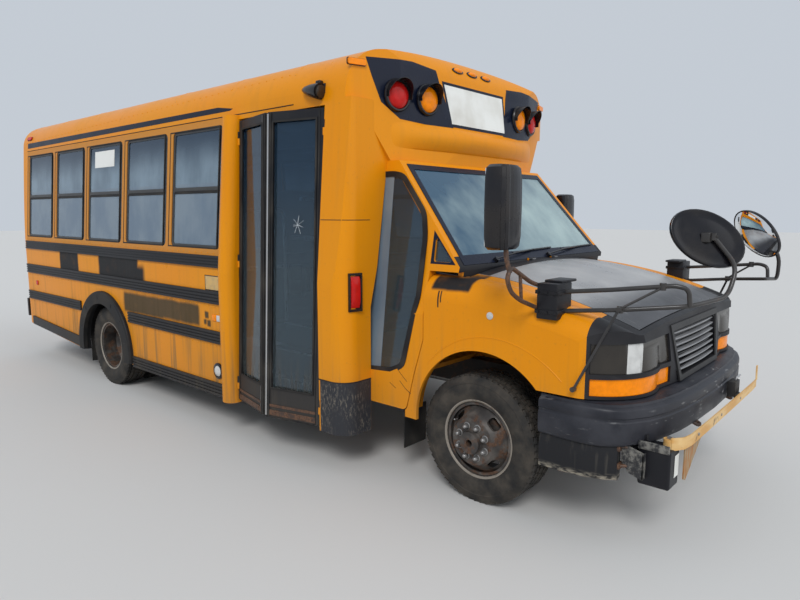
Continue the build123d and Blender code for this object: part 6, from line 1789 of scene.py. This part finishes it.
def add_rear_details():
    """Handle and seal of the rear door, the blank plate, the blank sign, bolts, seams and the tail pipe."""
    kit = Kit()
    kit.box(-6128, -6094, -330, -290, 1200, 1250, 5)
    kit.rod([(-6108, 300, 1180), (-6140, 300, 1180), (-6140, 300, 1380), (-6108, 300, 1380)], 10, 10, 20)
    kit.lathe((-6093, 300, 1280), (-1, 0, 0), [(0, 0), (46, 0), (46, 8), (30, 14), (0, 14)], 24)
    kit.rod([(-6105, 300, 1280), (-6122, 300, 1280), (-6122, 210, 1262)], 9, 8, 10)
    kit.done("rear_door_handle", "rear_door", "steel", "bright_aluminium")
    kit = Kit()
    kit.ring(*(rear_loop(-6094, DOOR_SEAL, grow) for grow in (0, -14)), (-6, 0, 0))
    kit.done("rear_door_seal", "rear_door", "black_rubber", "black_rubber")
    kit = Kit()
    kit.box(-6089, -6085.5, *REAR_PLATE, 1)
    kit.done("rear_plate", "body", None, "sign_white")
    kit = Kit()
    kit.ring(*(rear_loop(-6092, REAR_PLATE, grow) for grow in (12, -6)), (6.5, 0, 0))
    for y in (-650, -590):
        kit.box(-6108, -6086, y - 14, y + 14, 812, 836, 4)
    kit.done("rear_plate_frame", "body", "black_plastic", "gloss_black")
    kit = Kit()
    kit.box(-6088, -6085.4, -320, 320, 2150, 2250, 1)
    kit.done("rear_sign", "body", None, "sign_white")
    kit = Kit()
    for sign in SIDES.values():
        kit.side_box(sign, -6182, -6170, 640, 760, 520, 560, 4)
        for y in (380, 480):
            kit.lathe((-6176, sign * y, 560), (-1, 0, 0), [(0, -2), (16, -2), (14, 6), (0, 8)], 12)
    kit.done("rear_bumper_bolts", "body", "steel", "dull_steel")
    kit = Kit()
    for sign in SIDES.values():
        kit.rod([(-6092, sign * 1130, 1400), (-6092, sign * 1130, 2080)], 5, 6)
    kit.done("rear_seams", "body", "black_rubber", "black_rubber")
    kit = Kit()
    kit.rod([(-3480, -435, 470), (-3500, -700, 470), (-3500, -1180, 440)], 31, 14, 40, cap=False)
    kit.done("tail_pipe", "body", "steel", "castings")


STOP_CENTRE = (-1846.5, 1279, 1140)


def add_stop_arm():
    """The stop arm's octagon: red with a pale border and two lamps, no words."""
    x, y, z = STOP_CENTRE
    turns = [math.radians(22.5 + 45 * index) for index in range(8)]

    def octagon(size, out):
        radius = size / 2 / math.cos(math.radians(22.5))
        return [(x + radius * math.cos(turn), y + out, z + radius * math.sin(turn)) for turn in turns]
    for name, out, push in (("out", 6.3, 1.0), ("back", -6.3, -1.0)):
        kit = Kit()
        kit.ring(octagon(448, out), octagon(418, out), (0, push, 0))
        kit.done(f"stop_border_{name}", "stop_arm", None, "sign_white")
    lens, ring = Kit(), Kit()
    for sign, out in ((1, 6), (-1, -6)):
        for rise in (150, -150):
            round_lamp(lens, ring, (x, y + out, z + rise), (0, sign, 0), 42, 12 if sign > 0 else 7)
    lens.done("stop_lamps", "stop_arm", "lamp_lens", "red_lens", 60)
    ring.done("stop_lamp_rings", "stop_arm", "black_plastic", "gloss_black", 50)


def add_left_side():
    """The driver's door handle, the fuel door's seam and a hatch plate."""
    kit = Kit()
    kit.rod([(-1130, 1012, 1180), (-1130, 1040, 1180), (-1010, 1040, 1180), (-1010, 1012, 1180)], 11, 10, 18)
    kit.box(-1150, -990, 1006, 1014, 1155, 1205, 4)
    kit.lathe((-960, 1006, 1180), (0, 1, 0), [(0, 0), (13, 0), (13, 7), (0, 8)], 16)
    kit.done("driver_door_handle", "driver_door", "black_plastic", "gloss_black", 45)
    kit = Kit()
    loops = []
    for x0, x1, z0, z1 in ((-5300, -5060, 560, 660), (-5292, -5068, 568, 652)):
        loops.append([(x, 1240, z) for x, z in ((x0, z0), (x1, z0), (x1, z1), (x0, z1))])
    kit.ring(*loops, (0, 2, 0))
    kit.done("fuel_door_seam", "body", "black_rubber", "black_rubber")
    kit = Kit()
    kit.box(-2680, -2480, 1239.5, 1243, 480, 640, 1)
    kit.done("left_hatch", "body", "body_yellow", "body_yellow")


# Seams, beads and rubbers of the body.
# The side windows from the rear on: their rear edges step by the pitch, and the left side has one more, up to
# WINDOW_LAST; the rails of the sashes lie between two heights.
WINDOW_FIRST = -5940
WINDOW_PITCH = 782
WINDOW_WIDE = 698
WINDOW_LOW, WINDOW_HIGH = 1365, 2253
WINDOW_LAST = -1400
SASH_RAIL = (1774, 1816)


def window_stretch(side):
    """Rear and front edge of every window of a side."""
    for index in range(6 if side == "left" else 5):
        rear = WINDOW_FIRST + index * WINDOW_PITCH
        yield rear, rear + WINDOW_WIDE if index < 5 else WINDOW_LAST


def add_window_rubbers_and_shade():
    """A dark bead round each side window, lining its reveal and standing partly for painted shade there, and one
    across its sashes.
    """
    kit = Kit()
    for side, sign in SIDES.items():
        for x0, x1 in window_stretch(side):
            loops = []
            for grow in (0.5, -9):
                rear, front, low, high = x0 - grow, x1 + grow, WINDOW_LOW - grow, WINDOW_HIGH + grow
                corners = ((rear, low), (front, low), (front, high), (rear, high))
                loops.append([(x, sign * (wall_y(z) + 1.5), z) for x, z in corners])
            # Painted shade: this black lining of the reveal also stands for the shade in it.
            kit.ring(*loops, (0, -sign * 44, 0))
            low, high = ((sign * (wall_y(z) - 8), z) for z in SASH_RAIL)
            kit.prism([(x0 + 8, *low), (x1 - 8, *low), (x1 - 8, *high), (x0 + 8, *high)], (0, -sign * 12, 0))
    kit.done("window_rubbers_and_shade", "body", "black_rubber", "black_rubber")


RIVET_ROWS = (1335, 940, 640)
RIVET_COUNT = 46
RIVET_FIRST, RIVET_PITCH = -5930, 84


def add_seams():
    """The seam under the eaves, and the rows of rivets that the entrance and the wheel arches leave free."""
    kit = Kit()
    for sign in SIDES.values():
        eaves = sign * (wall_y(2310) + 1)
        kit.rod([(-1296, eaves, 2306), (-5950, eaves, 2306)], 3.2, 6)
    kit.done("body_seams", "body", "black_rubber", "black_rubber")
    kit = Kit()
    for side, sign in SIDES.items():
        for index in range(RIVET_COUNT):
            x = RIVET_FIRST + index * RIVET_PITCH
            if side == "right" and x > -2080:
                continue
            for z in RIVET_ROWS:
                if abs(x + WHEELBASE) < 580 and z < 960:
                    continue
                kit.lathe((x, sign * (wall_y(z) + 0.2), z), (0, sign, 0), [(5.5, -1), (5, 1.6), (0, 3)], 8)
    kit.done("side_rivets", "body", "body_yellow", "body_yellow", 60)


def add_column_guard():
    """The rubber sheet on the column's foot, and the seams round the column."""
    cuts = [((0, 0, 600), (0, 0, 1)), ((-985, 0, 0), (-1, 0, 0)), ((0, -1010, 0), (0, 1, 0))]
    skin("column_guard", "entrance_frame", "body", "black_rubber", "guard_grey", cuts, 3.0,
         lambda normal, centre: abs(normal.z) < 0.5)
    kit = Kit()
    for z, radius in ((1588, 2.2), (598, 3.5)):
        line = []
        for turn in range(-141, 46, 6):
            ahead = Vector((math.cos(math.radians(turn)), math.sin(math.radians(turn)), 0))
            spot, normal = touch(["entrance_frame"], Vector((-860, -1100, z)) + ahead * 500, -ahead)
            line.append(spot + normal * (2 if z < 1000 else 0))
        kit.rod(line, radius, 6)
    kit.done("column_seams", "body", "black_rubber", "black_rubber")


CAB_SIDE = ((440, 985), (667, 995), (740, 1006), (1050, 1006), (1300, 945), (1950, 850))


def cab_side_y(z):
    """Half width of the cab at a height."""
    for (low, first), (high, second) in zip(CAB_SIDE, CAB_SIDE[1:]):
        if z <= high:
            return first + (second - first) * (z - low) / (high - low)
    return CAB_SIDE[-1][1]


TALL_WINDOW = ((-838, 650), (-613, 666), (-500, 719), (-397, 1129), (-400, 1504), (-425, 1633), (-620, 1858),
               (-700, 1876), (-838, 1872))


def add_tall_window():
    """A thick rubber round the tall pane ahead of the entrance."""
    corners = [(x, 0, z) for x, z in TALL_WINDOW]
    start = ((corners[0][0] + corners[-1][0]) / 2, 0, (corners[0][2] + corners[-1][2]) / 2)
    line = [Vector(point) for point in rounded([start, *corners, start], 40, 4)][:-1]
    outer, inner = [], []
    for index, point in enumerate(line):
        ahead = line[(index + 1) % len(line)] - line[index - 1]
        away = Vector((ahead.z, 0, -ahead.x)).normalized()
        edge = point + away * 10
        edge.x = max(edge.x, -846)
        outer.append(Vector((edge.x, -cab_side_y(edge.z), edge.z)))
        inner.append(Vector((point.x - away.x * 24, -cab_side_y(edge.z), point.z - away.z * 24)))
    kit = Kit()
    kit.ring(outer, inner, (0, -8, 0))
    kit.done("tall_window_rubber", "body", "black_rubber", "black_rubber", 50)


def add_creases():
    """The raised line over each front wheel arch."""
    kit = Kit()
    for sign in SIDES.values():
        line = []
        for turn in range(138, 36, -4):
            reach = 490 + 108 * max(0, (138 - turn) / 100) ** 1.3
            x, z = 55 + reach * math.cos(math.radians(turn)), 440 + reach * math.sin(math.radians(turn))
            spot, normal = touch(["fenders"], (x, sign * 1500, z), (0, -sign, 0))
            line.append(spot - normal * 2.2)
        kit.rod(line, 4.5, 8)
    kit.done("arch_creases", "body", "body_yellow", "fender_yellow", 60)


# Scratches of the curb panel as (x, z), and where cracks cross the rear arch's rubber, in degrees.
SCRATCHES = (((-543, 690), (-505, 656), (-471, 629)), ((-530, 625), (-485, 585), (-440, 560)),
             ((-610, 600), (-560, 572)))
ARCH_CRACKS = (14, 38, 62, 96, 132, 163)


def add_scratches():
    """Scratches on the curb panel and cracks in the rear arch's rubber."""
    kit = Kit()

    def mark(nodes, points, radius):
        kit.rod([touch(nodes, (x, -1500, z), (0, 1, 0))[0] for x, z in points], radius, 5)
    for points in SCRATCHES:
        mark(["cab_panel_right", "cab_shell", "fenders"], points, 1.6)
    for turn in ARCH_CRACKS:
        ahead = Vector((math.cos(math.radians(turn)), math.sin(math.radians(turn))))
        foot = Vector((-WHEELBASE, 355)) + ahead * 462
        mark(["rubber_guards", "body_side_right"], [foot + ahead * step for step in (0, 14, 26, 40)], 2.4)
    kit.done("scratches", "body", "black_rubber", "gloss_black")


# The sticker's place and half size, and the decal's edges along and up.
STICKER_HIGH = (-4015, -1500, 2118)
STICKER_HALF = (200, 74)
DECAL = (-2262, -2076, 1062, 1168)


def add_stickers():
    """Blank stickers: one high in the third window, one on the yellow behind the entrance."""
    kit = Kit()
    (x, y, z), _ = touch(["fixed_glass"], STICKER_HIGH, (0, 1, 0))
    half_wide, half_tall = STICKER_HALF
    corners = [(x + u, y - 1.2 + LEAN * v, z + v) for u, v in
               ((-half_wide, -half_tall), (half_wide, -half_tall), (half_wide, half_tall), (-half_wide, half_tall))]
    kit.prism(corners, (0, -1, 0))
    kit.done("window_sticker", "body", None, "sign_white")
    kit = Kit()
    x0, x1, z0, z1 = DECAL
    y = -wall_y((z0 + z1) / 2)
    kit.box(x0, x1, y - 1.4, y - 0.2, z0, z1)
    kit.done("side_decal", "body", None, "faded_decal")
    kit = Kit()
    loops = []
    for grow in (3, -3):
        rear, front, low, high = x0 - grow, x1 + grow, z0 - grow, z1 + grow
        loops.append([(rear, y, low), (front, y, low), (front, y, high), (rear, y, high)])
    kit.ring(*loops, (0, -2, 0))
    kit.done("side_decal_border", "body", None, "gloss_black")


# The windshield's pane: its foot over the cowl, and its corners as side, half width and height up the slope.
PANE_FOOT = 19
PANE_CORNERS = [(1, 879, PANE_FOOT), (1, 794, 774), (-1, 794, 774), (-1, 879, PANE_FOOT)]


def add_glass():
    """Windshield, cab side windows and bus windows, each of its own glass."""
    kit = Kit()
    middle = Vector((0, PANE_FOOT, 0))
    corners = [Vector((sign * half, up, 0)) for sign, half, up in PANE_CORNERS]
    outline = rounded([middle, *corners, middle], 68)[1:]
    kit.prism([screen_point(point.x, point.y, -7) for point in outline], SCREEN_OUT * 6)
    kit.done("windshield_glass", "body", "glass", "screen_glass", replaces=["fixed_glass"])
    slant = Vector((0, 620, 65)).normalized()
    for side, sign in SIDES.items():
        cuts = [((-700, 0, 0), (-1, 0, 0)), ((0, sign * 890, 1330), Vector((0, -sign * slant.y, -slant.z)))]
        skin(f"cab_glass_{side}", "fixed_glass", "body", "glass", "door_glass", cuts, 0, smooth=0)
    skin("window_glass", "fixed_glass", "body", "glass", "window_glass", [((-700, 0, 0), (1, 0, 0))], 0, smooth=0)


# The stage.
# The camera: place, turn, tilt and roll, focal length in pixels of the picture's width, and sensor in millimetres.
CAMERA_PLACE = (1883.5, -3754.4, 1628.3)
CAMERA_YAW = math.radians(131.26)
CAMERA_PITCH = math.radians(-7.95)
CAMERA_ROLL = math.radians(-0.08)
FOCAL_PIXELS = 621.3
PICTURE_WIDTH = 800
SENSOR = 36

# The sky's colour and strength, and the suns: aim, strength and width in degrees.
SKY = ((0.84, 0.91, 1.0), 0.66)
SUNS = {"key_light": ((-0.5, 0.75, -0.8), 1.5, 20), "fill_light": ((-0.9, -0.3, -0.5), 0.6, 60)}
FLOOR_HALF = 60
FLOOR_GREY = (0.62, 0.61, 0.59)


def add_camera():
    """The photograph's camera, as solved from its wheels and body lines."""
    data = bpy.data.cameras.new("bus_camera")
    data.sensor_width = SENSOR
    data.lens = FOCAL_PIXELS * SENSOR / PICTURE_WIDTH
    data.clip_end = 200
    camera = bpy.data.objects.new("bus_camera", data)
    bpy.context.scene.collection.objects.link(camera)
    level = math.cos(CAMERA_PITCH)
    ahead = Vector((math.cos(CAMERA_YAW) * level, math.sin(CAMERA_YAW) * level, math.sin(CAMERA_PITCH)))
    right = ahead.cross(Vector((0, 0, 1))).normalized()
    turn = Matrix.Rotation(CAMERA_ROLL, 3, ahead)
    right = turn @ right
    up = right.cross(ahead)
    grid = Matrix((right, up, -ahead)).transposed().to_4x4()
    grid.translation = at(*CAMERA_PLACE)
    camera.matrix_world = grid
    bpy.context.scene.camera = camera


def add_sun(name, aim, strength, angle):
    """A sun that shines along an aim, its width in degrees."""
    data = bpy.data.lights.new(name, "SUN")
    data.energy = strength
    data.angle = math.radians(angle)
    lamp = bpy.data.objects.new(name, data)
    bpy.context.scene.collection.objects.link(lamp)
    lamp.matrix_world = Vector(aim).to_track_quat("-Z", "Y").to_matrix().to_4x4()


def add_world(colour, level):
    """An even sky."""
    world = bpy.data.worlds.new("studio")
    bpy.context.scene.world = world
    world.use_nodes = True
    world.node_tree.nodes.clear()
    w = Wiring(world.node_tree)
    lit = w.node("ShaderNodeBackground", {"Color": colour, "Strength": level}).outputs[0]
    w.node("ShaderNodeOutputWorld", {0: lit})


def add_floor():
    """A wide pale floor at the height of the ground."""
    bm = bmesh.new()
    bmesh.ops.create_grid(bm, x_segments=1, y_segments=1, size=FLOOR_HALF)
    mesh = bpy.data.meshes.new("studio_floor")
    bm.to_mesh(mesh)
    bm.free()
    floor = bpy.data.objects.new("studio_floor", mesh)
    bpy.context.scene.collection.objects.link(floor)

    def recipe(w, shader, place):
        fill(w, shader, FLOOR_GREY, 0.9)
    mesh.materials.append(surface("studio_floor", recipe))


# Operators.
class BUS_OT_stage(bpy.types.Operator):
    """Sets the floor, the sky, the two suns and the photograph's camera"""

    bl_idname = "bus.stage"
    bl_label = "Stage"

    def execute(self, context):
        context.scene.view_settings.view_transform = "Standard"
        add_floor()
        add_world(*SKY)
        for name, light in SUNS.items():
            add_sun(name, *light)
        add_camera()
        return {"FINISHED"}


class BUS_OT_finishes(bpy.types.Operator):
    """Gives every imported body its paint, glass, rubber or metal"""

    bl_idname = "bus.finishes"
    bl_label = "Finishes of the bodies"

    def execute(self, context):
        finish_nodes()
        return {"FINISHED"}


class BUS_OT_wheels(bpy.types.Operator):
    """Adds tyres with cut tread, and the nuts, bores, lips and valves of the wheels"""

    bl_idname = "bus.wheels"
    bl_label = "Wheels"

    def execute(self, context):
        add_tyres()
        add_wheel_fittings()
        return {"FINISHED"}


class BUS_OT_nose(bpy.types.Operator):
    """Adds the grille and the lamps of the nose"""

    bl_idname = "bus.nose"
    bl_label = "Nose"

    def execute(self, context):
        add_grille()
        add_front_lamps()
        return {"FINISHED"}


class BUS_OT_mirrors(bpy.types.Operator):
    """Adds the mirrors with their arms and glass"""

    bl_idname = "bus.mirrors"
    bl_label = "Mirrors"

    def execute(self, context):
        add_mirrors()
        return {"FINISHED"}


class BUS_OT_marks(bpy.types.Operator):
    """Adds the painted panels, the blank sign, the stripes, and the roof's laps, roll and fasteners"""

    bl_idname = "bus.marks"
    bl_label = "Marks"

    def execute(self, context):
        add_cap_marks()
        add_roof_laps()
        add_cap_roll()
        add_roof_rivets()
        return {"FINISHED"}


class BUS_OT_lamps(bpy.types.Operator):
    """Adds the warning, tail and marker lamps"""

    bl_idname = "bus.lamps"
    bl_label = "Lamps"

    def execute(self, context):
        add_warning_lamps()
        add_markers()
        add_step_light()
        add_column_lamp()
        return {"FINISHED"}


class BUS_OT_doors(bpy.types.Operator):
    """Adds the rubbers, strips and kick plates of the entrance doors, and the crack in one pane"""

    bl_idname = "bus.doors"
    bl_label = "Entrance doors"

    def execute(self, context):
        add_leaf_trim()
        add_glass_star()
        return {"FINISHED"}


class BUS_OT_bumper(bpy.types.Operator):
    """Adds the front bumper, the crossing arm and the bracket of its motor box"""

    bl_idname = "bus.bumper"
    bl_label = "Bumper and arm"

    def execute(self, context):
        add_bumper()
        add_crossing_arm()
        add_motor_bracket()
        return {"FINISHED"}


class BUS_OT_cab_trim(bpy.types.Operator):
    """Adds the windshield border, the wipers and the cowl"""

    bl_idname = "bus.cab_trim"
    bl_label = "Cab trim"

    def execute(self, context):
        add_cab_trim()
        return {"FINISHED"}


class BUS_OT_inside(bpy.types.Operator):
    """Adds the seats, the controls and the rails inside"""

    bl_idname = "bus.inside"
    bl_label = "Inside"

    def execute(self, context):
        add_benches()
        add_driver_seat()
        add_steering_wheel()
        add_fittings()
        return {"FINISHED"}


class BUS_OT_glazing(bpy.types.Operator):
    """Gives each window its own glass and rubber, the rubbers partly painted shade, and adds the blank stickers"""

    bl_idname = "bus.glazing"
    bl_label = "Glazing"

    def execute(self, context):
        add_stickers()
        add_glass()
        add_window_rubbers_and_shade()
        return {"FINISHED"}


class BUS_OT_body_details(bpy.types.Operator):
    """Adds the seams, rivets, guards, rear fittings and the stop arm"""

    bl_idname = "bus.body_details"
    bl_label = "Body details"

    def execute(self, context):
        add_seams()
        add_column_guard()
        add_tall_window()
        add_creases()
        add_scratches()
        add_rear_details()
        add_stop_arm()
        add_left_side()
        return {"FINISHED"}


class BusColours(bpy.types.PropertyGroup):
    """Colours of the bus"""

    yellow: bpy.props.FloatVectorProperty(name="Body yellow", description="Paint of the body and the cab",
                                          subtype="COLOR", default=(0.77, 0.262, 0.0015), min=0, max=1)
    faded_yellow: bpy.props.FloatVectorProperty(name="Faded yellow",
                                                description="The same paint where the sun has chalked it",
                                                subtype="COLOR", default=(0.74, 0.285, 0.007), min=0, max=1)
    dust: bpy.props.FloatVectorProperty(name="Dust", description="Road dust on the lower panels",
                                        subtype="COLOR", default=(0.20, 0.13, 0.06), min=0, max=1)


class BUS_PT_parts(bpy.types.Panel):
    """Lists the groups of pieces and their colours"""

    bl_idname = "BUS_PT_parts"
    bl_label = "School bus"
    bl_space_type = "VIEW_3D"
    bl_region_type = "UI"
    bl_category = "School bus"

    def draw(self, context):
        column = self.layout.column()
        for name in BusColours.__annotations__:
            column.prop(context.scene.bus_colours, name)
        for operator in OPERATORS:
            column.operator(operator.bl_idname)


OPERATORS = (BUS_OT_finishes, BUS_OT_wheels, BUS_OT_nose, BUS_OT_mirrors, BUS_OT_marks, BUS_OT_lamps, BUS_OT_doors,
             BUS_OT_bumper, BUS_OT_cab_trim, BUS_OT_inside, BUS_OT_glazing, BUS_OT_body_details, BUS_OT_stage)
CLASSES = (BusColours, *OPERATORS, BUS_PT_parts)


def register():
    for cls in CLASSES:
        bpy.utils.register_class(cls)
    bpy.types.Scene.bus_colours = bpy.props.PointerProperty(type=BusColours)


def unregister():
    del bpy.types.Scene.bus_colours
    for cls in reversed(CLASSES):
        bpy.utils.unregister_class(cls)


def main():
    """Builds everything."""
    register()
    for operator in OPERATORS:
        group, action = operator.bl_idname.split(".")
        getattr(getattr(bpy.ops, group), action)()


if __name__ == "__main__":
    main()
